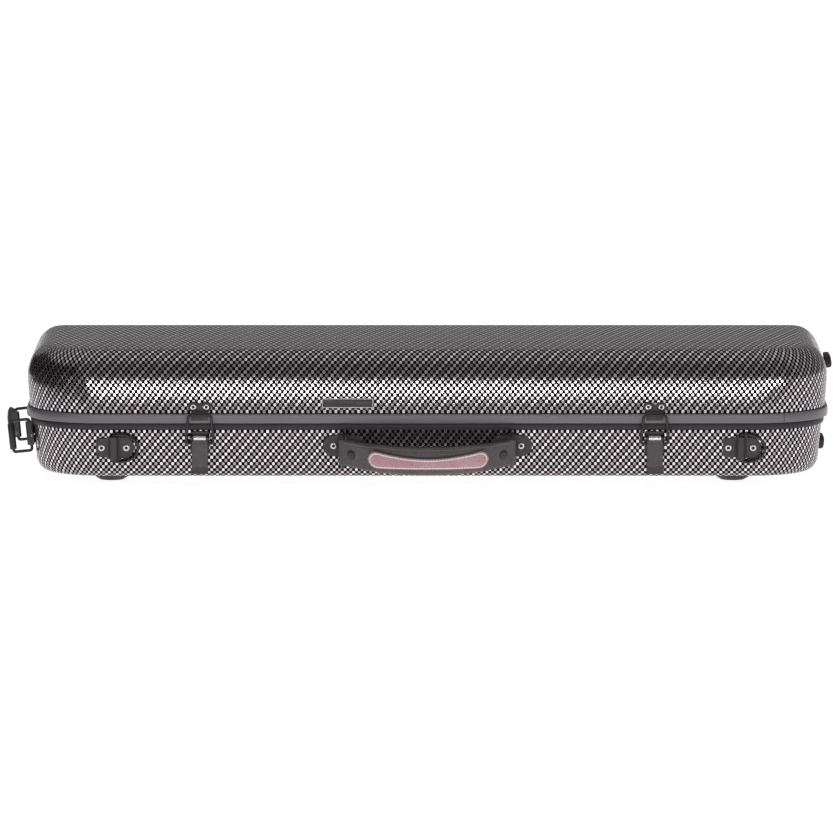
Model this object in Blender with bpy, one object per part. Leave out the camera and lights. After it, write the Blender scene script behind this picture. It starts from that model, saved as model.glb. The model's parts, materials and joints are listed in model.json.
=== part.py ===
"""Oblong moulded violin case, lying on its back on four rubber feet.

Frame: +X along the length, -Y is the carrying-handle side, +Z up, metres.
All driving dimensions below are in millimetres and are converted with MM
when a mesh is made. Heights are measured from the floor under the feet.
Each named object is one separate physical piece. Pieces that move hang from
an empty that stands on their joint's axis.
"""
import math

import bpy
import bmesh
from mathutils import Matrix, Vector

MM = 0.001

# ---------------------------------------------------------------- dimensions
# moulded shells
WALL = 2.6                  # laminate thickness
GAP = 0.3                   # clearance between pieces that touch
SEAM_HALF_L = 388.0         # half length of the lid outline at the seam
SEAM_HALF_W = 126.0         # half width of the lid outline at the seam
SEAM_R = 73.0               # plan radius of the front corners at the seam
SEAM_R_BACK = 32.0          # and of the rear corners
LID_BULGE = 2.4             # the end walls swell outwards above the seam
LID_BOTTOM = 71.2           # lower edge of the lid laminate
LID_TOP = 132.8             # crown of the lid
LID_CROWN = 1.2
LID_RV, LID_RH = 27.0, 24.0  # top edge rounding, vertical and horizontal
BASE_INSET = 2.6            # base outline inside the lid outline
BASE_TOP = 54.5
BASE_BOTTOM = 7.8
BASE_RV, BASE_RH = 16.0, 12.0
BASE_DRAFT = 0.1            # base walls lean in by this much per unit down
CORNER_SEGS = 7
# seam extrusions
RIM_BOTTOM, RIM_TOP = 54.8, 60.9
VAL_BOTTOM, VAL_TOP = 61.4, 70.9
VAL_OUT = 3.2               # how far the valance stands proud of the lid
# rear hinges
HINGE_X = 205.0
HINGE_OUT = 7.0             # axis behind the lid wall
HINGE_Z = 61.15
HINGE_W = 52.0
HINGE_R = 3.0
HINGE_PIN_R = 1.5
# draw latches
LATCH_X = 220.5
LATCH_Z = 47.9
PIVOT_N = 7.0               # lever pivot in front of the base wall
LEVER_HALF_W = 7.8
HOOK_N, HOOK_W = 7.3, -5.2  # bail eye on the lever
BAIL_R = 1.25
BAIL_OUT, BAIL_Z = 7.75, 69.9  # top bar: in front of the lid wall, height
# ring brackets
PLATE_T = 1.5
BAR_N = 4.4                 # ring bar in front of the wall
SLEEVE_R, SLEEVE_H = 3.9, 11.5
RING_R = 1.5
RING_REACH = 18.1
RING_H = 15.4
RING_DROP = 1.7             # the loose ring hangs on its sleeve
D_R = 1.2
STRAP_X, STRAP_Z = 304.0, 37.2
HANDLE_X, HANDLE_Z = 81.5, 39.2
END_Y, END_Z = 48.0, 42.6
RIVET_X = 12.0
HANDLE_RIVET_X = 9.4
# carrying handle
GRIP_RISE = 31.5
GRIP_H = 13.0
GRIP_T_END, GRIP_T_MID = 2.6, 7.5
EYE_R = 4.1
END_RISE = 2.5
END_LIFT = 10.0          # how far the strap's middle stands above its rings
# feet
FOOT_LEFT, FOOT_RIGHT, FOOT_Y = -308.0, 298.0, 72.0
# interior
INSERT_TOP = 60.0
INSERT_BOTTOM = BASE_BOTTOM + WALL + 0.4
WELL_FLOOR = 22.0
BODY_X0 = 345.0             # lower end of the instrument's body
BODY_LEN = 362.0
LINING_OUT, LINING_IN = 5.4, 11.0
ACC_X0, ACC_X1, ACC_Y0, ACC_Y1 = -322.0, -70.0, 50.0, 102.0
INSERT_SPLIT = -24.0     # joint between the neck block and the body block

TILT = math.atan(BASE_DRAFT)

# ------------------------------------------------------------------- scene
for o in list(bpy.data.objects):
    bpy.data.objects.remove(o, do_unlink=True)

WORLD = {}                  # world matrix of every empty, in metres


def matrix_mm(m):
    """A matrix whose translation is in millimetres, in metres."""
    m = m.copy()
    m.translation = m.translation * MM
    return m


def material(name, rgb, rough, metal=0.0):
    m = bpy.data.materials.get(name)
    if m is None:
        m = bpy.data.materials.new(name)
        m.use_nodes = True
        b = m.node_tree.nodes["Principled BSDF"]
        b.inputs["Base Color"].default_value = (*rgb, 1.0)
        b.inputs["Roughness"].default_value = rough
        b.inputs["Metallic"].default_value = metal
        m.diffuse_color = (*rgb, 1.0)
    return m


SHELL = ("woven_laminate", (0.12, 0.11, 0.12), 0.25, 0.3)
SEAM = ("satin_seam", (0.16, 0.14, 0.155), 0.4, 0.3)
BLACK_METAL = ("black_metal", (0.03, 0.028, 0.028), 0.35, 0.9)
LEVER = ("lever_metal", (0.08, 0.07, 0.075), 0.4, 0.8)
SILVER = ("silver_metal", (0.7, 0.68, 0.68), 0.25, 1.0)
LEATHER = ("grey_leather", (0.085, 0.072, 0.077), 0.55, 0.0)
PATCH = ("mauve_leather", (0.38, 0.26, 0.28), 0.6, 0.0)
RUBBER = ("black_rubber", (0.02, 0.02, 0.02), 0.7, 0.0)
PLUSH = ("charcoal_plush", (0.05, 0.05, 0.055), 0.95, 0.0)
PLATE = ("name_plate", (0.02, 0.02, 0.022), 0.3, 0.2)


def mesh_object(name, verts, faces):
    me = bpy.data.meshes.new(name)
    me.from_pydata([(x * MM, y * MM, z * MM) for x, y, z in verts], [], faces)
    bm = bmesh.new()
    bm.from_mesh(me)
    bmesh.ops.recalc_face_normals(bm, faces=bm.faces)
    bm.to_mesh(me)
    bm.free()
    ob = bpy.data.objects.new(name, me)
    bpy.context.scene.collection.objects.link(ob)
    return ob


def loft(name, loops, ring=False):
    """Bridge point loops; closed into a ring, or capped at both ends."""
    n, k = len(loops[0]), len(loops)
    verts = [p for lp in loops for p in lp]
    faces = []
    for i in range(k if ring else k - 1):
        j = (i + 1) % k
        for s in range(n):
            t = (s + 1) % n
            faces.append((i * n + s, i * n + t, j * n + t, j * n + s))
    if not ring:
        faces.append(tuple(range(n - 1, -1, -1)))
        faces.append(tuple(range((k - 1) * n, k * n)))
    return mesh_object(name, verts, faces)


def prism(name, poly, lo, hi, axis):
    """Extrude a polygon along an axis. For X the polygon is (y, z), for Y
    it is (x, z) and for Z it is (x, y)."""
    put = {"X": lambda a, b, c: (c, a, b),
           "Y": lambda a, b, c: (a, c, b),
           "Z": lambda a, b, c: (a, b, c)}[axis]
    return loft(name, [[put(a, b, lo) for a, b in poly],
                       [put(a, b, hi) for a, b in poly]])


def circle(r, n, ca=0.0, cb=0.0, start=0.0):
    return [(ca + r * math.cos(start + 2 * math.pi * i / n),
             cb + r * math.sin(start + 2 * math.pi * i / n))
            for i in range(n)]


def rod(name, r, lo, hi, axis, n=10, ca=0.0, cb=0.0):
    return prism(name, circle(r, n, ca, cb, math.pi / n), lo, hi, axis)


def turned(name, profile, axis, n):
    """Loft circles (radius, position) along an axis through the origin."""
    put = {"X": lambda a, b, c: (c, a, b),
           "Y": lambda a, b, c: (a, c, b),
           "Z": lambda a, b, c: (a, b, c)}[axis]
    return loft(name, [[put(a, b, h) for a, b in circle(r, n)]
                       for r, h in profile])


def tube(name, path, r, sides, normal, closed):
    """Round wire along a flat path; normal is the path plane's normal."""
    nv = Vector(normal)
    pts = [Vector(p) for p in path]
    k = len(pts)
    loops = []
    for i, p in enumerate(pts):
        a = pts[(i - 1) % k] if closed or i else p
        b = pts[(i + 1) % k] if closed or i < k - 1 else p
        u, v = (p - a), (b - p)
        if u.length < 1e-9:
            u = v
        if v.length < 1e-9:
            v = u
        u, v = u.normalized(), v.normalized()
        t = (u + v).normalized()
        side = t.cross(nv)
        mitre = 1.0 / max(0.5, t.dot(u))
        loops.append([tuple(p + nv * (r * math.cos(q)) +
                            side * (r * mitre * math.sin(q)))
                      for q in (2 * math.pi * (s + 0.5) / sides
                                for s in range(sides))])
    return loft(name, loops, ring=closed)


def rrect(a, b, r, z, n=CORNER_SEGS, back=None):
    """Rounded rectangle with half sizes a and b, as a loop at height z. The
    two corners on the +y side may have a radius of their own."""
    front = max(3.0, min(r, a - 1.0, b - 1.0))
    back = front if back is None else max(3.0, min(back, a - 1.0, b - 1.0))
    pts = []
    for sx, sy, q0 in ((1, 1, 0), (-1, 1, 90), (-1, -1, 180), (1, -1, 270)):
        r = back if sy > 0 else front
        for i in range(n + 1):
            q = math.radians(q0 + 90.0 * i / n)
            pts.append((sx * (a - r) + r * math.cos(q),
                        sy * (b - r) + r * math.sin(q), z))
    return pts


def outline(d, z, extra_l=0.0):
    """The lid's seam outline, moved outwards by d, at height z."""
    return rrect(SEAM_HALF_L + d + extra_l, SEAM_HALF_W + d, SEAM_R + d, z,
                 CORNER_SEGS, SEAM_R_BACK + d)


def rounded_corner(a, b, c, r, n=3):
    """Points that round the corner b of the path a-b-c."""
    a, b, c = Vector(a), Vector(b), Vector(c)
    p, q = b + (a - b).normalized() * r, b + (c - b).normalized() * r
    out = []
    for i in range(n + 1):
        t = i / n
        out.append(tuple(p.lerp(b, t).lerp(b.lerp(q, t), t)))
    return out


def join(ob, tool, op="DIFFERENCE"):
    """Apply an exact Boolean and drop the tool."""
    mod = ob.modifiers.new("tool", "BOOLEAN")
    mod.operation = op
    mod.solver = "EXACT"
    mod.object = tool
    bpy.context.view_layer.update()
    deps = bpy.context.evaluated_depsgraph_get()
    me = bpy.data.meshes.new_from_object(ob.evaluated_get(deps))
    ob.modifiers.clear()
    old = ob.data
    ob.data = me
    me.name = ob.name
    bpy.data.meshes.remove(old)
    bpy.data.objects.remove(tool, do_unlink=True)
    return ob


def empty(name, world=None, parent=None):
    """An empty on a joint axis; world is its matrix in millimetres."""
    ob = bpy.data.objects.new(name, None)
    ob.empty_display_size = 0.02
    bpy.context.scene.collection.objects.link(ob)
    m = matrix_mm(world) if world is not None else Matrix.Identity(4)
    WORLD[name] = m
    if parent is not None:
        ob.parent = bpy.data.objects[parent]
        ob.matrix_basis = WORLD[parent].inverted() @ m
    else:
        ob.matrix_basis = m
    return ob


def finish(ob, look, parent="base", world=None, sharp=35.0):
    """Give the piece its material, its place and its parent."""
    me = ob.data
    me.materials.clear()
    me.materials.append(material(*look))
    for p in me.polygons:
        p.material_index = 0
    me.shade_smooth()
    me.set_sharp_from_angle(angle=math.radians(sharp))
    m = matrix_mm(world) if world is not None else Matrix.Identity(4)
    ob.parent = bpy.data.objects[parent]
    ob.matrix_basis = WORLD[parent].inverted() @ m
    return ob


def shift(x=0.0, y=0.0, z=0.0):
    return Matrix.Translation((x, y, z))


def turn(deg, axis):
    return Matrix.Rotation(math.radians(deg), 4, axis)


def wall_front(x, z):
    """Frame on the base's front wall: x along it, -y outwards, z up it."""
    y = SEAM_HALF_W - BASE_INSET - BASE_DRAFT * (BASE_TOP - z)
    return shift(x, -y, z) @ Matrix.Rotation(TILT, 4, "X")


def wall_end(side, y, z):
    """The same frame on an end wall: side -1 is the left end, 1 the right."""
    x = SEAM_HALF_L - BASE_INSET - BASE_DRAFT * (BASE_TOP - z)
    return shift(side * x, y, z) @ turn(90.0 * side, "Z") @ \
        Matrix.Rotation(TILT, 4, "X")


# ------------------------------------------------------------ joint empties
HINGE_Y = SEAM_HALF_W + HINGE_OUT
empty("assembly")
empty("base", parent="assembly")
empty("lid_axis", shift(0, HINGE_Y, HINGE_Z), "assembly")

# -------------------------------------------------------------------- base
loops = []
INS = BASE_INSET


def base_wall(z):
    return -(INS + BASE_DRAFT * (BASE_TOP - z))


knee = BASE_BOTTOM + BASE_RV
outer = [(base_wall(BASE_TOP), BASE_TOP), (base_wall(knee), knee)]
inner = [(base_wall(BASE_TOP) - WALL, BASE_TOP),
         (base_wall(knee) - WALL, knee)]
for i in range(1, 6):
    q = math.pi / 2 * i / 5
    outer.append((base_wall(knee) - BASE_RH * (1 - math.cos(q)),
                  knee - BASE_RV * math.sin(q)))
for i in range(1, 4):
    q = math.pi / 2 * i / 3
    inner.append((base_wall(knee) - WALL -
                  (BASE_RH - WALL) * (1 - math.cos(q)),
                  knee - (BASE_RV - WALL) * math.sin(q)))
loops = [outline(d, z) for d, z in reversed(outer)] + \
        [outline(d, z) for d, z in inner]
base_shell = loft("base_shell", loops)

base_rim = loft("base_rim", [outline(d, z) for d, z in (
    (-1.4, RIM_BOTTOM), (-0.6, RIM_BOTTOM + 1.2), (-0.6, RIM_TOP - 1.0),
    (-1.4, RIM_TOP), (-8.3, RIM_TOP), (-8.3, 48.0), (-6.25, 48.0),
    (-5.5, RIM_BOTTOM))], ring=True)
finish(base_rim, SEAM)

gasket = loft("rim_gasket", [outline(d, z) for d, z in (
    (-7.9, RIM_TOP + GAP), (-7.9, 62.8), (-6.8, 63.4), (-5.7, 62.8),
    (-5.7, RIM_TOP + GAP))], ring=True)
finish(gasket, RUBBER)

# padded insert with the instrument's well
insert = loft("base_insert", [
    outline(-27.5, INSERT_BOTTOM), outline(-14.0, 26.0),
    outline(-12.6, 46.5), outline(-8.8, 48.5), outline(-8.8, INSERT_TOP)])

BOUTS = ((0.0, 0.0), (0.022, 0.42), (0.08, 0.76), (0.15, 0.95),
         (0.225, 1.0), (0.31, 0.94), (0.40, 0.76), (0.48, 0.60),
         (0.55, 0.56), (0.62, 0.63), (0.70, 0.77), (0.78, 0.82),
         (0.86, 0.79), (0.93, 0.64), (0.98, 0.38), (1.0, 0.0))
BOUT_HALF_W = 106.0


def body_half_width(t):
    """Half width of the instrument's body at t along it, 0 to 1."""
    for (t0, w0), (t1, w1) in zip(BOUTS, BOUTS[1:]):
        if t <= t1:
            s = (t - t0) / (t1 - t0)
            return BOUT_HALF_W * (w0 + (w1 - w0) * s)
    return 0.0


side = [0.5 - 0.5 * math.cos(math.pi * i / 22) for i in range(1, 22)]
smooth_side = []
for t in side:
    h = 0.02
    w = (body_half_width(max(0.0, t - h)) + 2 * body_half_width(t) +
         body_half_width(min(1.0, t + h))) / 4
    smooth_side.append((BODY_X0 - BODY_LEN * t, w))
well = [(x, w) for x, w in smooth_side] + [(x, -w) for x, w in
                                           reversed(smooth_side)]
join(insert, prism("tool", well, WELL_FLOOR, 80.0, "Z"))
join(insert, loft("tool", [
    [(x - 143.0, y, z) for x, y, z in rrect(146.0, 27.0, 5.0, zz, 2)]
    for zz in (28.0, 80.0) for z in (zz,)]))
acc_cx, acc_cy = (ACC_X0 + ACC_X1) / 2, (ACC_Y0 + ACC_Y1) / 2
acc_a, acc_b = (ACC_X1 - ACC_X0) / 2, (ACC_Y1 - ACC_Y0) / 2
for sy, floor in ((1, 20.0), (-1, 34.0)):
    join(insert, loft("tool", [
        [(x + acc_cx, y + sy * acc_cy, z)
         for x, y, z in rrect(acc_a, acc_b, 5.0, zz, 2)]
        for zz in (floor, 80.0)]))
neck = bpy.data.objects.new("neck_insert", insert.data.copy())
bpy.context.scene.collection.objects.link(neck)
for ob, lo, hi in ((insert, -500.0, INSERT_SPLIT + GAP / 2),
                   (neck, INSERT_SPLIT - GAP / 2, 500.0)):
    join(ob, loft("tool", [
        [(x, y, z) for y, z in ((-200, 0), (200, 0), (200, 90), (-200, 90))]
        for x in (lo, hi)]))
    finish(ob, PLUSH)

strap = loft("neck_strap", [
    [(x, y, z) for x, z in ((-142, lo), (-118, lo), (-118, lo + 2.0),
                            (-142, lo + 2.0))]
    for y, lo in ((-44.0, 60.3), (-30.0, 60.4), (-12.0, 61.6), (12.0, 61.6),
                  (30.0, 60.4), (44.0, 60.3))])
finish(strap, LEATHER)

# accessory compartment lid, hinged along its rear edge
ACC_HINGE_Y, ACC_HINGE_Z = 104.5, 62.3
empty("accessory_axis", shift(0, ACC_HINGE_Y, ACC_HINGE_Z), "assembly")
acc = prism("accessory_lid", [
    (-56.5, -2.0), (-0.6, -2.0), (0.9, -1.0), (0.9, 0.6), (-0.6, 1.3),
    (-55.0, 1.3), (-56.5, 0.3)], ACC_X0 - 3.0, ACC_X1 + 3.0, "X")
finish(acc, PLUSH, "accessory_axis", shift(0, ACC_HINGE_Y, ACC_HINGE_Z))

# --------------------------------------------------------------------- lid
KNEE = LID_TOP - LID_CROWN - LID_RV
outer = [(0.0, LID_BOTTOM, 0.0), (0.0, 86.0, 0.62 * LID_BULGE),
         (0.0, KNEE, LID_BULGE)]
inner = [(-WALL, LID_BOTTOM, 0.0), (-WALL, 86.0, 0.62 * LID_BULGE),
         (-WALL, KNEE, LID_BULGE)]
for i in range(1, 7):
    q = math.pi / 2 * i / 6
    outer.append((-LID_RH * (1 - math.cos(q)), KNEE + LID_RV * math.sin(q),
                  LID_BULGE))
for i in range(1, 4):
    q = math.pi / 2 * i / 3
    inner.append((-WALL - (LID_RH - WALL) * (1 - math.cos(q)),
                  KNEE + (LID_RV - WALL) * math.sin(q), LID_BULGE))
outer += [(-LID_RH - 32.0, LID_TOP - 0.35, LID_BULGE),
          (-LID_RH - 72.0, LID_TOP, LID_BULGE)]
loops = [outline(d, z, e) for d, z, e in reversed(outer)] + \
        [outline(d, z, e) for d, z, e in inner]
lid_shell = loft("lid_shell", loops)

valance = loft("lid_valance", [outline(d, z) for d, z in (
    (1.8, VAL_BOTTOM), (VAL_OUT - 0.3, VAL_BOTTOM + 1.5),
    (VAL_OUT, 66.2), (VAL_OUT - 0.3, VAL_TOP - 1.5), (1.8, VAL_TOP),
    (-WALL - GAP, VAL_TOP), (-WALL - GAP, 73.8), (-4.9, 73.8),
    (-4.9, VAL_BOTTOM))], ring=True)
finish(valance, SEAM, "lid_axis")

outer = [(-LINING_OUT, 64.0), (-LINING_OUT, KNEE)]
inner = [(-LINING_IN, 64.0), (-LINING_IN, KNEE)]
for i in range(1, 5):
    q = math.pi / 2 * i / 4
    outer.append((-LINING_OUT - (LID_RH - LINING_OUT) * (1 - math.cos(q)),
                  KNEE + (LID_RV - LINING_OUT) * math.sin(q)))
    inner.append((-LINING_IN - (LID_RH - LINING_IN) * (1 - math.cos(q)),
                  KNEE + (LID_RV - LINING_IN) * math.sin(q)))
lining = loft("lid_lining", [outline(d, z) for d, z in reversed(outer)] +
              [outline(d, z) for d, z in inner])
finish(lining, PLUSH, "lid_axis")
CEILING = KNEE + LID_RV - LINING_IN

# turn buttons that hold the bows under the lid
CLIP_X, CLIP_Y = -230.0, 38.0
for tag, y in (("front", -CLIP_Y), ("rear", CLIP_Y)):
    ax = shift(CLIP_X, y, CEILING - GAP)
    empty("bow_clip_%s_axis" % tag, ax, "lid_axis")
    clip = turned("bow_clip_" + tag, ((8.5, 0.0), (8.5, -2.0), (4.0, -3.0),
                                      (4.0, -9.0)), "Z", 10)
    bar = loft("tool", [rrect(16.0, 4.8, 4.5, z, 2) for z in
                        (-8.0, -11.0)])
    join(clip, bar, "UNION")
    finish(clip, BLACK_METAL, "bow_clip_%s_axis" % tag, ax)

# ------------------------------------------------------- rivet pairs, bores
BORES = {"base_shell": [], "lid_shell": []}


def rivets(name, frame, half, depth, parent, head_n, shaft=1.35, strip=3.6):
    """Two rivets on one backing strip, pushed through plate and wall."""
    ob = loft(name, [[(x, depth, z) for x, _, z in
                      ((-half - 4, 0, -strip), (half + 4, 0, -strip),
                       (half + 4, 0, strip), (-half - 4, 0, strip))],
                     [(x, depth + 1.2, z) for x, _, z in
                      ((-half - 4, 0, -strip), (half + 4, 0, -strip),
                       (half + 4, 0, strip), (-half - 4, 0, strip))]])
    for s in (-1, 1):
        pin = loft("tool", [
            [(s * half + a, y, b) for a, b in circle(r, 7)] for r, y in
            ((shaft, depth + 0.6), (shaft, -head_n), (2.9, -head_n),
             (2.9, -head_n - 0.4), (2.0, -head_n - 1.0))])
        join(ob, pin, "UNION")
    return finish(ob, SILVER, parent, frame)


def bore(shell, frame, half, r=1.7):
    for s in (-1, 1):
        t = rod("tool", r, -12.0, 12.0, "Y", 7, s * half)
        t.matrix_world = matrix_mm(frame)
        join(shell, t)


# ------------------------------------------------------------ ring brackets
def round_end(x, r):
    """Half circle that closes a plate to the side of x."""
    s = math.copysign(1.0, x)
    return [(x + s * r * math.cos(q), s * r * math.sin(q))
            for q in (math.radians(-90.0 + 36.0 * i) for i in range(6))]


ROUND_PLATE = round_end(8.2, 9.3) + round_end(-8.2, 9.3)
WIDE_PLATE = round_end(9.4, 10.6) + round_end(-9.4, 10.6)
STRAP_PLATE = round_end(9.2, 10.6) + [(-15.4, 9.3), (-17.4, 7.3),
                                      (-17.4, -7.3), (-15.4, -9.3)]


def bracket(name, frame, plate, rivet_x):
    """Plate with a raised vertical sleeve for a ring's bar."""
    ob = prism(name, plate, -GAP, -GAP - PLATE_T, "Y")
    top = BAR_N + SLEEVE_R
    sec = [(-SLEEVE_R, -1.0), (-SLEEVE_R, -BAR_N)]
    sec += [(-SLEEVE_R * math.cos(q), -BAR_N - SLEEVE_R * math.sin(q))
            for q in (math.pi * i / 4 for i in range(1, 4))]
    sec += [(SLEEVE_R, -BAR_N), (SLEEVE_R, -1.0)]
    join(ob, prism("tool", sec, -SLEEVE_H, SLEEVE_H, "Z"), "UNION")
    join(ob, rod("tool", RING_R + 0.4, -20.0, 20.0, "Z", 8, 0.0, -BAR_N))
    for s in (-1, 1):
        join(ob, rod("tool", 1.75, -8.0, 4.0, "Y", 7, s * rivet_x))
    return finish(ob, BLACK_METAL, "base", frame)


def square_ring(name, axis_frame, parent):
    """Rectangular wire ring; its own origin is on the sleeve's axis."""
    c = [(0, 0, -RING_H), (0, -RING_REACH, -RING_H),
         (0, -RING_REACH, RING_H), (0, 0, RING_H)]
    path = []
    for i in range(4):
        path += rounded_corner(c[i - 1], c[i], c[(i + 1) % 4], 1.9, 2)
    ob = tube(name, path, RING_R, 6, (1, 0, 0), True)
    return finish(ob, BLACK_METAL, parent, axis_frame)


def d_ring(name, axis_frame, parent):
    path = rounded_corner((4, 0, 13.2), (0, 0, 13.2), (0, 0, 0), 1.8, 2)
    path = path[::1]
    path += rounded_corner((0, 0, 0), (0, 0, -13.2), (4, 0, -13.2), 1.8, 2)
    n = 10
    for i in range(n + 1):
        q = math.radians(-90.0 + 180.0 * i / n)
        path.append((6.0 + 17.4 * math.cos(q), 0, 13.6 * math.sin(q)))
    ob = tube(name, path, D_R, 6, (0, 1, 0), True)
    return finish(ob, BLACK_METAL, parent, axis_frame)


for tag, s in (("left", -1), ("right", 1)):
    f = wall_front(s * STRAP_X, STRAP_Z)
    bore(base_shell, f, RIVET_X)
    bracket("strap_bracket_" + tag, f, STRAP_PLATE, RIVET_X)
    rivets("strap_rivets_" + tag, f, RIVET_X, WALL + 2 * GAP, "base",
           GAP + PLATE_T + GAP)
    ax = f @ shift(0, -BAR_N, 0)
    empty("d_ring_%s_axis" % tag, ax, "assembly")
    d_ring("d_ring_" + tag, ax, "d_ring_%s_axis" % tag)

for tag, s in (("left", -1), ("right", 1)):
    f = wall_front(s * HANDLE_X, HANDLE_Z)
    bore(base_shell, f, HANDLE_RIVET_X)
    bracket("handle_bracket_" + tag, f, WIDE_PLATE, HANDLE_RIVET_X)
    rivets("handle_rivets_" + tag, f, HANDLE_RIVET_X, WALL + 2 * GAP, "base",
           GAP + PLATE_T + GAP)
    ax = f @ shift(0, -BAR_N, -RING_DROP)
    empty("handle_ring_%s_axis" % tag, ax, "assembly")
    square_ring("handle_ring_" + tag, ax, "handle_ring_%s_axis" % tag)

for tag, y in (("front", -END_Y), ("rear", END_Y)):
    f = wall_end(-1, y, END_Z)
    bore(base_shell, f, RIVET_X)
    bracket("end_bracket_" + tag, f, ROUND_PLATE, RIVET_X)
    rivets("end_rivets_" + tag, f, RIVET_X, WALL + 1.9, "base",
           GAP + PLATE_T + GAP)
    ax = f @ shift(0, -BAR_N, -RING_DROP)
    empty("end_ring_%s_axis" % tag, ax, "assembly")
    square_ring("end_ring_" + tag, ax, "end_ring_%s_axis" % tag)


# ------------------------------------------------------------------ handles
def blend(a, b, t):
    t = min(1.0, max(0.0, t))
    t = t * t * (3 - 2 * t)
    return a + (b - a) * t


class Arch:
    """Leather band between two ring bars, arched away from the wall."""

    def __init__(self, span, rise, t_end, t_mid, h_end, h_mid, pad,
                 lift=0.0):
        self.span, self.rise, self.lift = span, rise, lift
        self.t = (t_end, t_mid)
        self.h = (h_end, h_mid)
        self.pad = pad

    def point(self, x):
        n = self.rise * (1 - (x / self.span) ** 2)
        slope = -2 * self.rise * x / self.span ** 2
        k = math.hypot(1, slope)
        return (x, n), (-slope / k, 1 / k)

    def half(self, x):
        s = (self.pad[1] - abs(x)) / (self.pad[1] - self.pad[0])
        return (blend(self.t[0], self.t[1], s),
                blend(self.h[0], self.h[1], s), blend(6.0, 2.6, s))

    def loop(self, x, sides):
        (px, pn), (ux, un) = self.point(x)
        t, h, e = self.half(x)
        up = self.lift * (1 - (x / self.span) ** 2)
        out = []
        for i in range(sides):
            q = 2 * math.pi * (i + 0.5) / sides
            c, s = math.cos(q), math.sin(q)
            a = math.copysign(abs(c) ** (2 / e), c) * t
            w = math.copysign(abs(s) ** (2 / e), s) * h
            out.append((px + a * ux, -(pn + a * un), w + up))
        return out

    def front(self, x, w, off):
        (px, pn), (ux, un) = self.point(x)
        t, h, e = self.half(x)
        a = t * (1 - (abs(w) / h) ** e) ** (1 / e) + off
        return (px + a * ux, -(pn + a * un), w)


def arched_band(name, arch, stations, sides, eye_h):
    ob = loft(name, [arch.loop(x, sides) for x in stations])
    for s in (-1, 1):
        join(ob, rod("tool", EYE_R, -eye_h, eye_h, "Z", 12,
                     s * arch.span, 0.0), "UNION")
    for s in (-1, 1):
        join(ob, rod("tool", RING_R + 0.35, -30.0, 30.0, "Z", 10,
                     s * arch.span, 0.0))
    return ob


grip_arch = Arch(HANDLE_X, GRIP_RISE, GRIP_T_END, GRIP_T_MID, 12.6,
                 13.5, (46.0, 70.0))
hf = wall_front(0.0, HANDLE_Z) @ shift(0, -BAR_N - RING_REACH, -RING_DROP)
lf = wall_front(-HANDLE_X, HANDLE_Z) @ \
    shift(0, -BAR_N - RING_REACH, -RING_DROP)
empty("handle_axis", lf, "handle_ring_left_axis")
stations = [HANDLE_X * s for s in
            (-0.995, -0.88, -0.78, -0.68, -0.58, -0.42, -0.22, 0.0, 0.22,
             0.42, 0.58, 0.68, 0.78, 0.88, 0.995)]
grip = arched_band("handle_grip", grip_arch, stations, 12, 12.9)
finish(grip, LEATHER, "handle_axis", hf)

PATCH_L, PATCH_H, PATCH_X = 56.5, 9.2, 1.0
rows = []
for i in range(13):
    x = PATCH_L * (-1 + 2 * i / 12) * 0.999
    over = max(0.0, abs(x) - (PATCH_L - PATCH_H)) / PATCH_H
    h = max(1.6, PATCH_H * math.sqrt(max(0.0, 1 - over ** 2)))
    ws = [h * k for k in (-1, -0.5, 0, 0.5, 1)]
    rows.append([grip_arch.front(x + PATCH_X, w, 0.75) for w in ws] +
                [grip_arch.front(x + PATCH_X, w, 1.95) for w in reversed(ws)])
finish(loft("handle_patch", rows), PATCH, "handle_axis", hf)

for tag, s in (("left", -1), ("right", 1)):
    x = s * 71.5
    (px, pn), (ux, un) = grip_arch.point(x)
    t = grip_arch.half(x)[0] + 0.25
    ang = math.atan2(ux, un)
    f = hf @ shift(px + t * ux, -(pn + t * un), 0.0) @ \
        Matrix.Rotation(ang, 4, "Z")
    stud = turned("handle_stud_" + tag, ((4.2, 0.0), (4.2, -0.7),
                                         (2.9, -1.6)), "Y", 10)
    finish(stud, BLACK_METAL, "handle_axis", f)

end_arch = Arch(END_Y, END_RISE, 2.5, 2.5, 12.6, 12.6, (10.0, 20.0),
                END_LIFT)
ef = wall_end(-1, 0.0, END_Z) @ shift(0, -BAR_N - RING_REACH, -RING_DROP)
# local +x points to the front here, so the front eye is at +END_Y
empty("end_handle_axis", wall_end(-1, -END_Y, END_Z) @
      shift(0, -BAR_N - RING_REACH, -RING_DROP), "end_ring_front_axis")
endh = arched_band("end_handle", end_arch,
                   [END_Y * s for s in (-0.99, -0.75, -0.5, -0.25, 0.0, 0.25,
                                        0.5, 0.75, 0.99)], 8, 12.9)
finish(endh, LEATHER, "end_handle_axis", ef)

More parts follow.
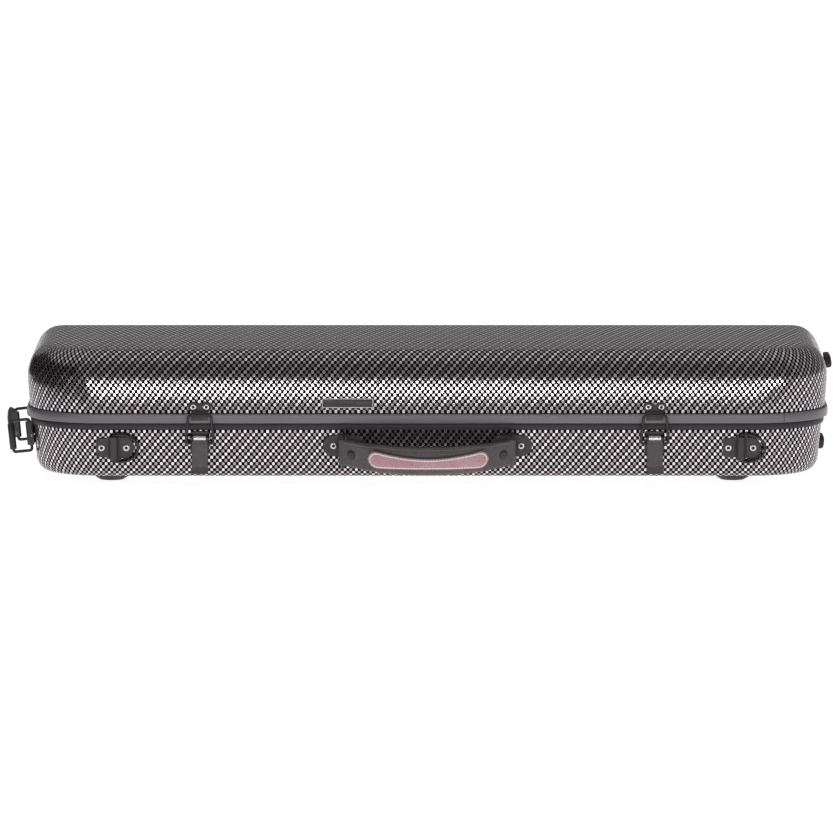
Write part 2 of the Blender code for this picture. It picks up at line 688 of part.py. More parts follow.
# ------------------------------------------------------------------ latches
for tag, s in (("left", -1), ("right", 1)):
    f = wall_front(s * LATCH_X, LATCH_Z)
    # plate with two ears
    plate = loft("latch_plate_" + tag, [
        [(x, y, z) for x, z in ((-9.3, -17.0), (9.3, -17.0), (9.3, 5.6),
                                (-9.3, 5.6))]
        for y in (-GAP, -GAP - PLATE_T)])
    ear = [(-1.0, 4.4), (-1.0, -3.6), (-PIVOT_N, -3.1)]
    ear += [(-PIVOT_N - 3.1 * math.sin(q), -3.1 * math.cos(q))
            for q in (math.pi * i / 4 for i in range(1, 4))]
    ear += [(-PIVOT_N, 3.1)]
    for lo, hi in ((-9.3, -8.1), (8.1, 9.3)):
        join(plate, prism("tool", ear, lo, hi, "X"), "UNION")
    join(plate, rod("tool", 1.8, -20, 20, "X", 8, -PIVOT_N, 0.0))
    finish(plate, BLACK_METAL, "base", f)
    # roller pin
    pin = turned("latch_pin_" + tag, ((1.5, -9.7), (1.5, -6.0), (3.0, -6.0),
                                      (3.0, 6.0), (1.5, 6.0), (1.5, 9.7)),
                 "X", 10)
    finish(pin, SILVER, "base", f @ shift(0, -PIVOT_N, 0))
    # lever, a channel that is open towards the wall
    ax = f @ shift(0, -PIVOT_N, 0)
    empty("latch_%s_axis" % tag, ax, "assembly")
    side = [(2.2, 2.2), (0.0, 3.1), (-2.2, 2.2), (-3.2, 0.0), (-3.4, -3.4),
            (-3.0, -27.2), (-5.2, -33.4), (-4.4, -34.4), (-1.6, -28.8),
            (0.2, -27.8), (1.2, -16.0), (2.6, -7.6), (3.1, -2.0)]
    lever = prism("latch_lever_" + tag, side, -LEVER_HALF_W, LEVER_HALF_W,
                  "X")
    join(lever, prism("tool", [(25.0, 20.0), (-25.0, 20.0), (-25.0, -3.6),
                               (-1.9, -3.6), (-1.6, -26.2), (25.0, -26.2)],
                      -LEVER_HALF_W + 1.4, LEVER_HALF_W - 1.4, "X"))
    join(lever, rod("tool", 1.8, -20, 20, "X", 8))
    join(lever, rod("tool", BAIL_R + GAP, -20, 20, "X", 8,
                    -(HOOK_N - PIVOT_N), HOOK_W))
    finish(lever, LEVER, "latch_%s_axis" % tag, ax)
    # wire bail, from the lever's eyes up to its bar before the keeper
    eye = f @ Vector((0, -HOOK_N, HOOK_W))
    top = Vector((s * LATCH_X, -(SEAM_HALF_W + BAIL_OUT), BAIL_Z))
    run = top - eye
    length = math.hypot(run.y, run.z)
    lean = math.atan2(-run.y, run.z)
    bf = Matrix.Translation(eye) @ Matrix.Rotation(lean, 4, "X")
    empty("bail_%s_axis" % tag, bf, "latch_%s_axis" % tag)
    a, b, c, d = ((-6.7, 0, 0), (-13.4, 0, 0), (-10.9, 0, length),
                  (0, 0, length))
    path = [a] + rounded_corner(a, b, c, 2.2, 2) + \
        rounded_corner(b, c, d, 3.0, 3)
    path = path + [(-x, y, z) for x, y, z in reversed(path)]
    bail = tube("latch_bail_" + tag, path, BAIL_R, 6, (0, 1, 0), False)
    finish(bail, BLACK_METAL, "bail_%s_axis" % tag, bf)
    # keeper with its hook, on the lid
    kf = shift(s * LATCH_X, -SEAM_HALF_W, 77.4)
    lobes = []
    for i in range(7):
        q = math.radians(-55 + 30.0 * i)
        lobes.append((6.3 + 5.0 * math.cos(q), 5.0 * math.sin(q)))
    lobes += [(0.0, 2.6)] + [(-x, z) for x, z in reversed(lobes)]
    lobes += [(-8.3, -5.6), (8.3, -5.6)]
    keeper = prism("keeper_" + tag, lobes, -GAP, -GAP - 1.4, "Y")
    hook = [(0.3, 71.25), (2.9, 71.25), (3.6, 70.2), (3.6, 64.4),
            (4.9, 64.4), (4.9, 68.2), (6.1, 68.4), (6.2, 69.8), (5.0, 71.2),
            (3.0, 72.7), (1.7, 74.2), (0.5, 74.2)]
    join(keeper, prism("tool", [(-n, z - 77.4) for n, z in hook], -8.1, 8.1,
                       "X"), "UNION")
    for q in (-1, 1):
        join(keeper, rod("tool", 1.65, -8.0, 4.0, "Y", 8, q * 6.3))
    finish(keeper, BLACK_METAL, "lid_axis", kf)
    bore(lid_shell, kf, 6.3, 1.65)
    rivets("keeper_rivets_" + tag, kf, 6.3, WALL + GAP, "lid_axis",
           GAP + 1.4 + GAP, 1.3, 3.0)

finish(base_shell, SHELL)
finish(lid_shell, SHELL, "lid_axis")

# ------------------------------------------------------------------- hinges
for tag, s in (("left", -1), ("right", 1)):
    hx = s * HINGE_X
    ax = shift(hx, HINGE_Y, HINGE_Z)
    half = HINGE_W / 2
    # profiles are (y, z) from the hinge axis, +y backwards
    rim_y = -HINGE_OUT - 0.6 + GAP
    val_y = -HINGE_OUT + VAL_OUT + GAP
    low = prism("hinge_base_leaf_" + tag, [
        (rim_y, -5.9), (rim_y, -1.6), (val_y - 0.2, -1.6),
        (-2.2, -1.9), (0.0, -2.4), (0.0, -4.2), (-2.6, -4.4),
        (-4.4, -5.9)], -half, half, "X")
    top = prism("hinge_lid_leaf_" + tag, [
        (val_y, 1.4), (-1.6, 1.6), (0.0, 2.4), (0.0, 4.4), (val_y + 1.4, 4.6),
        (val_y + 1.4, 8.8), (val_y, 8.8)], -half, half, "X")
    cuts = [-half, -half + 17.0, half - 17.0, half]
    for lo, hi, mine, other in ((cuts[0], cuts[1], low, top),
                                (cuts[1], cuts[2], top, low),
                                (cuts[2], cuts[3], low, top)):
        a = lo + (0.15 if lo != cuts[0] else 0.0)
        b = hi - (0.15 if hi != cuts[3] else 0.0)
        join(mine, rod("tool", HINGE_R, a, b, "X", 10), "UNION")
        join(other, rod("tool", HINGE_R + GAP, lo - 0.15 -
                        (5.0 if lo == cuts[0] else 0.0), hi + 0.15 +
                        (5.0 if hi == cuts[3] else 0.0), "X", 8))
    for leaf in (low, top):
        join(leaf, rod("tool", HINGE_PIN_R + GAP + 0.1, -60, 60, "X", 8))
    finish(low, BLACK_METAL, "base", ax)
    finish(top, BLACK_METAL, "lid_axis", ax)
    pin = rod("hinge_pin_" + tag, HINGE_PIN_R, -half, half, "X", 10)
    finish(pin, SILVER, "base", ax)

# ---------------------------------------------------------------- small kit
plate = loft("nameplate", [[(x, y, z) for x, z in ((-25, -4.7), (25, -4.7),
                                                   (25, 4.7), (-25, 4.7))]
                           for y in (-GAP, -GAP - 0.9)])
finish(plate, PLATE, "lid_axis", shift(-77.3, -SEAM_HALF_W, 81.0))

for tag, x, y in (("front_left", FOOT_LEFT, -FOOT_Y),
                  ("front_right", FOOT_RIGHT, -FOOT_Y),
                  ("rear_left", FOOT_LEFT, FOOT_Y),
                  ("rear_right", FOOT_RIGHT, FOOT_Y)):
    foot = turned("bottom_foot_" + tag, ((9.0, 0.0), (12.5, 0.9),
                                         (15.8, 2.8), (17.8, 5.2),
                                         (18.4, BASE_BOTTOM - GAP)), "Z", 14)
    finish(foot, RUBBER, "base", shift(x, y, 0))


def bumper(name, frame, parent, thick):
    ob = loft(name, [[(x, y, z) for x, z, _ in rrect(a, b, r, 0.0, 3)]
                     for a, b, r, y in ((18.0, 6.5, 6.4, -GAP),
                                        (18.0, 6.5, 6.4, -thick + 2.4),
                                        (16.9, 5.4, 5.3, -thick + 0.7),
                                        (15.0, 3.6, 3.5, -thick))])
    return finish(ob, RUBBER, parent, frame)


zc = 108.3
q = math.asin((zc - KNEE) / LID_RV)
xl = SEAM_HALF_L + LID_BULGE - LID_RH * (1 - math.cos(q))
bumper("lid_end_bumper", shift(xl, 0, zc) @ turn(90, "Z") @
       Matrix.Rotation(-q, 4, "X"), "lid_axis", 6.6)
bumper("base_end_bumper", wall_end(1, 0.0, 29.0), "base", 7.2)

# ------------------------------------- origin under the middle of the whole
bpy.context.view_layer.update()
lo, hi = Vector((1e9,) * 3), Vector((-1e9,) * 3)
for ob in bpy.data.objects:
    if ob.type != "MESH":
        continue
    for v in ob.data.vertices:
        p = ob.matrix_world @ v.co
        for i in range(3):
            lo[i], hi[i] = min(lo[i], p[i]), max(hi[i], p[i])
bpy.data.objects["assembly"].location = (-(lo.x + hi.x) / 2,
                                         -(lo.y + hi.y) / 2, -lo.z)
bpy.context.view_layer.update()
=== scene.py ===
import json
import math

import bpy
import bmesh
import numpy as np
from mathutils import Matrix, Vector
from mathutils import geometry as mgeo

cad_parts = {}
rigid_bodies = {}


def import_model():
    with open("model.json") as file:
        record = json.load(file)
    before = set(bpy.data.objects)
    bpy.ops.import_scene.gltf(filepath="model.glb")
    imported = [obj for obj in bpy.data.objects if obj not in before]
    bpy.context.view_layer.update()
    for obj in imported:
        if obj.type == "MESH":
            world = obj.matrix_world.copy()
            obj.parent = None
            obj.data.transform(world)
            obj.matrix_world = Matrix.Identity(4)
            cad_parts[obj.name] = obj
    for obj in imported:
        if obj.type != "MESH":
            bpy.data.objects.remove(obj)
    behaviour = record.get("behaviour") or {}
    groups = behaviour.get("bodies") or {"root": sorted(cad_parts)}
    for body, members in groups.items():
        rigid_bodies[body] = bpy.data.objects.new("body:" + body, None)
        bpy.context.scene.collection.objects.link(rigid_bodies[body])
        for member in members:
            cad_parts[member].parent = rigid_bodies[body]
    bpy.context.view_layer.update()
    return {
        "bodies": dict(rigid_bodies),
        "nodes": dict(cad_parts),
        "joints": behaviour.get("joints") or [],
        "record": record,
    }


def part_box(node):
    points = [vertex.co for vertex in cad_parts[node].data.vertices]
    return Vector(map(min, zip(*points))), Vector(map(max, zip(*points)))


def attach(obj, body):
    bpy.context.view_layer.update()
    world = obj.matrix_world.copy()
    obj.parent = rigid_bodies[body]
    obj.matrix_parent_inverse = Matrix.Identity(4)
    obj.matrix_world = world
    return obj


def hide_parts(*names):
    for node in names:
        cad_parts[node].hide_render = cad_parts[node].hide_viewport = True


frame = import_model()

MM = 0.001
NODES = frame["nodes"]

# The design's own zero is under the middle of the shell, between the feet.
_a, _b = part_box("bottom_foot_front_left"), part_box("bottom_foot_rear_right")
OX = (_a[0].x + _b[1].x) / 2 + 5.0 * MM
OY = (_a[0].y + _b[1].y) / 2

# ------------------------------------------------------------- dimensions (mm)
WALL, GAP = 2.6, 0.3
SHL, SHW, SR, SR_BACK = 388.0, 126.0, 73.0, 32.0
BULGE = 2.4
LID_BOTTOM, LID_TOP, CROWN, LRV, LRH = 71.2, 132.8, 1.2, 27.0, 24.0
KNEE = LID_TOP - CROWN - LRV
INSET, BASE_TOP, BASE_BOTTOM, BRV, BRH, DRAFT = 2.6, 54.5, 7.8, 16.0, 12.0, 0.1
TILT = math.atan(DRAFT)
HINGE_X, HINGE_Y, HINGE_Z, HINGE_W = 205.0, 133.0, 61.15, 52.0
LATCH_X, LATCH_Z, PIVOT_N = 220.5, 47.9, 7.0
BAR_N = 4.4
STRAP_X, STRAP_Z, HANDLE_X, HANDLE_Z, END_Y, END_Z = 304.0, 37.2, 81.5, 39.2, 48.0, 42.6
RING_REACH, RING_H, RING_DROP, RIVET_X = 18.1, 15.4, 1.7, 12.0
HANDLE_RIVET_X = 9.4


# =================================================================== materials
class Nodes:
    """Short forms for building a shader."""

    def __init__(self, name):
        self.m = bpy.data.materials.new(name)
        self.m.use_nodes = True
        self.t = self.m.node_tree
        self.b = self.t.nodes["Principled BSDF"]

    def put(self, sock, v):
        if isinstance(v, bpy.types.NodeSocket):
            self.t.links.new(v, sock)
        elif isinstance(v, (tuple, list)) and len(v) == 3 and \
                sock.type == "RGBA":
            sock.default_value = (*v, 1.0)
        else:
            sock.default_value = v

    def node(self, kind, **props):
        n = self.t.nodes.new(kind)
        for k, v in props.items():
            setattr(n, k, v)
        return n

    def math(self, op, a, b=0.0, c=None, clamp=False):
        n = self.node("ShaderNodeMath", operation=op, use_clamp=clamp)
        self.put(n.inputs[0], a)
        self.put(n.inputs[1], b)
        if c is not None:
            self.put(n.inputs[2], c)
        return n.outputs[0]

    def mix(self, f, a, b, kind="MIX"):
        n = self.node("ShaderNodeMix", data_type="RGBA", blend_type=kind)
        self.put(n.inputs[0], f)
        self.put(n.inputs[6], a)
        self.put(n.inputs[7], b)
        return n.outputs[2]

    def ramp(self, f, lo, hi, a=0.0, b=1.0, smooth=True):
        n = self.node("ShaderNodeMapRange", interpolation_type="SMOOTHSTEP"
                      if smooth else "LINEAR")
        self.put(n.inputs[0], f)
        for i, v in enumerate((lo, hi, a, b)):
            self.put(n.inputs[i + 1], v)
        return n.outputs[0]

    def coord(self, stretch=(1, 1, 1)):
        tc = self.node("ShaderNodeTexCoord")
        mp = self.node("ShaderNodeMapping")
        self.t.links.new(tc.outputs["Object"], mp.inputs[0])
        mp.inputs["Scale"].default_value = stretch
        return mp.outputs[0]

    def noise(self, vec, scale, detail=3.0, rough=0.5, lac=2.0):
        n = self.node("ShaderNodeTexNoise")
        self.put(n.inputs["Vector"], vec)
        n.inputs["Scale"].default_value = scale
        n.inputs["Detail"].default_value = detail
        n.inputs["Roughness"].default_value = rough
        return n.outputs[0]

    def voronoi(self, vec, scale, feature="F1", out=0, rand=1.0):
        n = self.node("ShaderNodeTexVoronoi", feature=feature)
        self.put(n.inputs["Vector"], vec)
        n.inputs["Scale"].default_value = scale
        n.inputs["Randomness"].default_value = rand
        return n.outputs[out]

    def bump(self, height, strength=0.3, distance=0.0003, normal=None):
        n = self.node("ShaderNodeBump")
        n.inputs["Strength"].default_value = strength
        n.inputs["Distance"].default_value = distance
        self.put(n.inputs["Height"], height)
        if normal is not None:
            self.put(n.inputs["Normal"], normal)
        return n.outputs[0]

    def out(self, **kw):
        for k, v in kw.items():
            self.put(self.b.inputs[k.replace("_", " ")], v)
        return self.m


def weave_material(name, light, dark):
    """A checker of bright, glossy metallic fibre cells and dark fibre cells.
    The map holds cells across in U and cells up in V."""
    s = Nodes(name)
    uv = s.node("ShaderNodeUVMap", uv_map="weave")
    xyz = s.node("ShaderNodeSeparateXYZ")
    s.t.links.new(uv.outputs[0], xyz.inputs[0])
    u, v = xyz.outputs[0], xyz.outputs[1]
    # slow wander, so that rows are not ruler straight
    wob = s.noise(s.coord(), 18.0, 2.0)
    u = s.math("ADD", u, s.math("MULTIPLY", s.math("SUBTRACT", wob, 0.5), 1.1))
    fu, fv = s.math("FLOOR", u), s.math("FLOOR", v)
    par = s.math("MULTIPLY", s.math("FRACT", s.math(
        "MULTIPLY", s.math("ADD", fu, fv), 0.5)), 2.0)
    k = s.math("FLOOR", s.math("MULTIPLY", s.math("SUBTRACT", fu, fv), 0.5))
    band = s.math("MULTIPLY", s.math("FRACT", s.math("MULTIPLY", k, 0.5)), 2.0)
    lu = s.math("ABSOLUTE", s.math("SUBTRACT", s.math("FRACT", u), 0.5))
    lv = s.math("ABSOLUTE", s.math("SUBTRACT", s.math("FRACT", v), 0.5))
    edge = s.math("ADD", s.math("POWER", s.math("MULTIPLY", lu, 2.0), 4.0),
                  s.math("POWER", s.math("MULTIPLY", lv, 2.0), 4.0))
    body = s.ramp(edge, 1.1, 0.4)
    cell = s.node("ShaderNodeCombineXYZ")
    s.put(cell.inputs[0], fu)
    s.put(cell.inputs[1], fv)
    rnd = s.node("ShaderNodeTexWhiteNoise", noise_dimensions="2D")
    s.t.links.new(cell.outputs[0], rnd.inputs["Vector"])
    # fibres inside a cell
    fib = s.noise(s.coord((1, 1, 1)), 2600.0, 1.0)
    bright = s.math("MULTIPLY", body, par)
    tone = s.math("ADD", 0.5, s.math("MULTIPLY", band, 0.45))
    tone = s.math("MULTIPLY", tone, s.ramp(rnd.outputs[0], 0, 1, 0.8, 1.08,
                                           False))
    tone = s.math("MULTIPLY", tone, s.ramp(fib, 0.3, 0.7, 0.88, 1.05))
    lit = s.mix(tone, (0.0, 0.0, 0.0), light)
    col = s.mix(bright, dark, lit)
    pillow = s.bump(s.math("ADD", body, s.math("MULTIPLY", fib, 0.25)), 0.12,
                    0.00012)
    return s.out(Base_Color=col,
                 Metallic=s.math("MULTIPLY", bright, 0.97),
                 Roughness=s.ramp(bright, 0, 1, 0.3, 0.15, False),
                 Normal=pillow, Specular_IOR_Level=0.03)


def satin(name, a, b, metal=0.55, rough=0.4, coat=0.25,
          along=(4, 60, 400)):
    """Drawn, coated metal with faint lengthwise lines."""
    s = Nodes(name)
    lines = s.noise(s.coord(along), 6.0, 4.0, 0.6)
    cloud = s.noise(s.coord(), 9.0, 3.0)
    col = s.mix(s.ramp(s.math("ADD", s.math("MULTIPLY", lines, 0.6),
                              s.math("MULTIPLY", cloud, 0.4)), 0.3, 0.7),
                a, b)
    return s.out(Base_Color=col, Metallic=metal,
                 Roughness=s.ramp(lines, 0.3, 0.7, rough - 0.05, rough + 0.07),
                 Normal=s.bump(lines, 0.12, 0.0001), Coat_Weight=coat,
                 Coat_Roughness=0.2)


def painted(name, a, b, rough=0.34, metal=0.0, grain=900.0, coat=0.3,
            strength=0.12):
    """Stove-enamelled metal with an orange-peel skin and rubbed spots."""
    s = Nodes(name)
    peel = s.noise(s.coord(), grain, 2.0)
    wear = s.noise(s.coord(), 130.0, 5.0, 0.65)
    col = s.mix(s.ramp(wear, 0.45, 0.8), a, b)
    return s.out(Base_Color=col, Metallic=metal,
                 Roughness=s.ramp(wear, 0.3, 0.75, rough + 0.08, rough - 0.06),
                 Normal=s.bump(peel, strength, 0.00012), Coat_Weight=coat,
                 Coat_Roughness=0.15)


def plated(name, a, b, rough=0.2):
    s = Nodes(name)
    n = s.noise(s.coord((1, 1, 1)), 420.0, 4.0, 0.6)
    col = s.mix(s.ramp(n, 0.35, 0.7), a, b)
    return s.out(Base_Color=col, Metallic=1.0,
                 Roughness=s.ramp(n, 0.3, 0.7, rough - 0.05, rough + 0.14),
                 Normal=s.bump(n, 0.06, 0.0001))


def leather(name, a, b, valley_shade, grain=520.0, rough=0.52, depth=0.5):
    """Grain leather: pebble cells, pores, creases and uneven dye. The valleys between
    the pebbles are darkened as painted shade.
    """
    s = Nodes(name)
    v = s.coord()
    pebble = s.voronoi(v, grain, "DISTANCE_TO_EDGE")
    fine = s.noise(v, grain * 2.4, 3.0)
    dye = s.noise(v, 38.0, 4.0, 0.6)
    fold = s.noise(s.coord((1, 1, 3)), 60.0, 3.0)
    col = s.mix(s.ramp(dye, 0.3, 0.72), a, b)
    valley = s.ramp(pebble, 0.0, 0.09)
    # painted shade: the valleys between the pebbles take the darker colour
    col = s.mix(valley, valley_shade, col)
    h = s.math("ADD", s.math("MULTIPLY", valley, 0.8),
               s.math("ADD", s.math("MULTIPLY", fine, 0.35),
                      s.math("MULTIPLY", fold, 0.5)))
    return s.out(Base_Color=col,
                 Roughness=s.ramp(fine, 0.25, 0.75, rough - 0.08, rough + 0.1),
                 Normal=s.bump(h, depth, 0.00025), Specular_IOR_Level=0.4)


def rubber(name, a=(0.012, 0.012, 0.012), b=(0.03, 0.029, 0.029)):
    s = Nodes(name)
    n = s.noise(s.coord(), 700.0, 3.0)
    d = s.noise(s.coord(), 60.0, 3.0)
    return s.out(Base_Color=s.mix(s.ramp(d, 0.35, 0.7), a, b),
                 Roughness=s.ramp(n, 0.3, 0.7, 0.55, 0.78),
                 Normal=s.bump(n, 0.3, 0.00015))


def plush(name, a, b):
    """Short-pile velvet with brushed patches."""
    s = Nodes(name)
    pile = s.noise(s.coord(), 1500.0, 2.0)
    brushed = s.noise(s.coord((1, 2.5, 1)), 14.0, 4.0, 0.6)
    tuft = s.voronoi(s.coord(), 900.0)
    col = s.mix(s.ramp(brushed, 0.35, 0.68), a, b)
    col = s.mix(s.ramp(pile, 0.25, 0.6), tuple(0.45 * c for c in a), col)
    return s.out(Base_Color=col, Roughness=s.ramp(tuft, 0, 1, 0.85, 1.0),
                 Normal=s.bump(s.math("ADD", pile, s.math(
                     "MULTIPLY", brushed, 0.8)), 0.55, 0.0006),
                 Sheen_Weight=0.55, Sheen_Roughness=0.45,
                 Sheen_Tint=(0.75, 0.75, 0.8))


def thread(name, a, b):
    """Twisted thread."""
    s = Nodes(name)
    w = s.node("ShaderNodeTexWave", bands_direction="DIAGONAL")
    s.put(w.inputs["Vector"], s.coord())
    w.inputs["Scale"].default_value = 900.0
    w.inputs["Distortion"].default_value = 1.5
    return s.out(Base_Color=s.mix(w.outputs[1], a, b),
                 Roughness=s.ramp(w.outputs[1], 0, 1, 0.7, 0.5),
                 Normal=s.bump(w.outputs[1], 0.4, 0.0002), Sheen_Weight=0.3)


M = {
    "weave": weave_material("woven_laminate", (0.97, 0.885, 0.92),
                            (0.0016, 0.0012, 0.0014)),
    "inner": painted("laminate_inner", (0.02, 0.02, 0.021),
                     (0.035, 0.034, 0.035), 0.6, 0.0, 300.0, 0.0, 0.4),
    "valance": satin("valance_satin", (0.134, 0.114, 0.136),
                     (0.167, 0.145, 0.168), 0.5, 0.42),
    # base rim: its own dark brown, darkened further as painted shade from the
    # overhanging valance
    "rim": satin("rim_satin_and_painted_shade", (0.022, 0.017, 0.019), (0.033, 0.026, 0.029),
                 0.3, 0.5, 0.03),
    "joint": painted("joint_line", (0.02, 0.018, 0.02), (0.03, 0.027, 0.03),
                     0.6),
    "black": painted("black_enamel", (0.006, 0.005, 0.005),
                     (0.016, 0.014, 0.014), 0.3, 0.0, 900.0, 0.12),
    "bracket": painted("bracket_enamel", (0.030, 0.023, 0.024),
                       (0.046, 0.037, 0.038), 0.46, 0.0, 500.0, 0.05),
    "lever": painted("lever_enamel", (0.062, 0.050, 0.055),
                     (0.092, 0.077, 0.082), 0.42, 0.2, 600.0, 0.1),
    "silver": plated("nickel_plate", (0.60, 0.60, 0.63), (0.76, 0.74, 0.76)),
    # painted shade: near-black for the shade inside rivet bores and the stud's slot
    "painted_bore_shade": painted("rivet_bore_painted_shade", (0.004, 0.004, 0.004),
                         (0.012, 0.011, 0.011), 0.6, 0.0, 500.0, 0.0),
    "leather": leather("grey_leather", (0.085, 0.070, 0.076),
                       (0.115, 0.098, 0.104), (0.045, 0.037, 0.04)),
    # edge paint on the leather's cut edges; the same near-black also draws the painted
    # shadow line above the handle's patch
    "edge": leather("edge_paint_and_shadow_line", (0.02, 0.017, 0.018),
                    (0.035, 0.03, 0.032), (0.012, 0.01, 0.011), 800.0, 0.4,
                    0.25),
    "patch": leather("mauve_leather", (0.46, 0.262, 0.29),
                     (0.575, 0.358, 0.386), (0.27, 0.14, 0.16), 700.0, 0.5,
                     0.4),
    "thread": thread("pale_thread", (0.85, 0.66, 0.68), (0.95, 0.84, 0.84)),
    "thread_grey": thread("grey_thread", (0.13, 0.11, 0.12),
                          (0.2, 0.175, 0.185)),
    # painted shade: near-black leather for the tube standing in for the shade in the
    # groove round the patch
    "hole": leather("groove_shade_leather", (0.03, 0.012, 0.014), (0.05, 0.02, 0.022),
                    (0.02, 0.008, 0.01), 900.0, 0.6, 0.2),
    "rubber": rubber("black_rubber"),
    "plush": plush("charcoal_plush", (0.045, 0.045, 0.052),
                   (0.075, 0.075, 0.085)),
    "plush_lid": plush("charcoal_plush_lid", (0.05, 0.05, 0.058),
                       (0.082, 0.082, 0.092)),
    "piping": leather("piping_cord", (0.02, 0.02, 0.022),
                      (0.04, 0.04, 0.044), (0.012, 0.012, 0.013), 900.0,
                      0.5, 0.3),
    "plate": painted("plate_black", (0.008, 0.008, 0.009),
                     (0.02, 0.02, 0.022), 0.3, 0.0, 700.0, 0.15, 0.05),
}


# =================================================================== geometry
def mesh_object(name, verts, faces, mat, smooth=True, sharp=32.0):
    me = bpy.data.meshes.new(name)
    me.from_pydata([((x * MM + OX), (y * MM + OY), z * MM)
                    for x, y, z in verts], [], faces)
    bm = bmesh.new()
    bm.from_mesh(me)
    bmesh.ops.recalc_face_normals(bm, faces=bm.faces)
    bm.to_mesh(me)
    bm.free()
    ob = bpy.data.objects.new(name, me)
    bpy.context.scene.collection.objects.link(ob)
    if mat is not None:
        me.materials.append(M[mat])
    if smooth:
        me.shade_smooth()
        me.set_sharp_from_angle(angle=math.radians(sharp))
    return ob


class Part:
    """Collects closed shapes, each with its own material, as one piece."""

    def __init__(self):
        self.v, self.f, self.m = [], [], []
        self.mats = []

    def add(self, verts, faces, mat, frame=None):
        n = len(self.v)
        if frame is not None:
            verts = [tuple(frame @ Vector(p)) for p in verts]
        if mat not in self.mats:
            self.mats.append(mat)
        self.v += [tuple(p) for p in verts]
        self.f += [tuple(i + n for i in f) for f in faces]
        self.m += [self.mats.index(mat)] * len(faces)

    def loft(self, loops, mat, frame=None, ring=False):
        n, k = len(loops[0]), len(loops)
        verts = [p for lp in loops for p in lp]
        faces = []
        for i in range(k if ring else k - 1):
            j = (i + 1) % k
            for s in range(n):
                t = (s + 1) % n
                faces.append((i * n + s, i * n + t, j * n + t, j * n + s))
        if not ring:
            faces.append(tuple(range(n - 1, -1, -1)))
            faces.append(tuple(range((k - 1) * n, k * n)))
        self.add(verts, faces, mat, frame)

    def slab(self, poly, lo, hi, axis, mat, frame=None, bevel=0.35, n=3):
        """Extruded polygon with rounded rims on both sides. Given counter-
        clockwise or clockwise; the rims shrink towards the inside."""
        put = {"X": lambda a, b, c: (c, a, b), "Y": lambda a, b, c: (a, c, b),
               "Z": lambda a, b, c: (a, b, c)}[axis]
        pts = np.array(poly, float)
        area = 0.5 * np.sum(pts[:, 0] * np.roll(pts[:, 1], -1) -
                            np.roll(pts[:, 0], -1) * pts[:, 1])
        e = np.roll(pts, -1, 0) - pts
        e /= np.maximum(1e-9, np.linalg.norm(e, axis=1))[:, None]
        nrm = np.stack([e[:, 1], -e[:, 0]], 1) * (1 if area > 0 else -1)
        a = nrm + np.roll(nrm, 1, 0)
        a /= np.maximum(0.35, np.sum(a * a, 1))[:, None] * 0.5
        s = 1.0 if hi > lo else -1.0
        b = min(bevel, abs(hi - lo) * 0.45)
        levels = []
        for i in range(n + 1):
            q = math.pi / 2 * i / n
            levels.append((b * (1 - math.sin(q)), lo + s * b * (1 - math.cos(q))))
        for i in range(n + 1):
            q = math.pi / 2 * i / n
            levels.append((b * (1 - math.cos(q)), hi - s * b * (1 - math.sin(q))))
        self.loft([[put(p[0], p[1], h) for p in pts - a * d]
                   for d, h in levels], mat, frame)

    def lathe(self, profile, axis, mat, frame=None, n=32, at=(0.0, 0.0)):
        put = {"X": lambda a, b, c: (c, a, b), "Y": lambda a, b, c: (a, c, b),
               "Z": lambda a, b, c: (a, b, c)}[axis]
        self.loft([[put(at[0] + r * math.cos(2 * math.pi * i / n),
                        at[1] + r * math.sin(2 * math.pi * i / n), h)
                    for i in range(n)] for r, h in profile], mat, frame)

    def ring_lathe(self, profile, axis, mat, frame=None, n=32, at=(0.0, 0.0)):
        """Turned ring: the profile is a closed loop of (radius, position)."""
        put = {"X": lambda a, b, c: (c, a, b), "Y": lambda a, b, c: (a, c, b),
               "Z": lambda a, b, c: (a, b, c)}[axis]
        loops = []
        for i in range(n):
            c, s = math.cos(2 * math.pi * i / n), math.sin(2 * math.pi * i / n)
            loops.append([put(at[0] + r * c, at[1] + r * s, h)
                          for r, h in profile])
        self.loft(loops, mat, frame, ring=True)

    def tube(self, path, r, sides, normal, closed, mat, frame=None, flat=1.0):
        nv = Vector(normal)
        pts = [Vector(p) for p in path]
        k = len(pts)
        loops = []
        for i, p in enumerate(pts):
            a = pts[(i - 1) % k] if closed or i else p
            b = pts[(i + 1) % k] if closed or i < k - 1 else p
            u, v = p - a, b - p
            if u.length < 1e-9:
                u = v
            if v.length < 1e-9:
                v = u
            u, v = u.normalized(), v.normalized()
            t = (u + v).normalized()
            side = t.cross(nv).normalized()
            up = side.cross(t).normalized()
            m = 1.0 / max(0.5, t.dot(u))
            loops.append([tuple(p + up * (r * flat * math.cos(q)) +
                                side * (r * m * math.sin(q)))
                          for q in (2 * math.pi * (s + 0.5) / sides
                                    for s in range(sides))])
        if not closed:      # rounded ends
            def cap(loop, centre, away):
                c = Vector(centre)
                out = []
                for f, d in ((0.75, 0.62), (0.35, 0.93)):
                    out.append([tuple(c + (Vector(q) - c) * f + away * r * d)
                                for q in loop])
                return out
            t0 = (pts[0] - pts[1]).normalized()
            t1 = (pts[-1] - pts[-2]).normalized()
            loops = list(reversed(cap(loops[0], pts[0], t0))) + loops + \
                cap(loops[-1], pts[-1], t1)
        self.loft(loops, mat, frame, ring=closed)

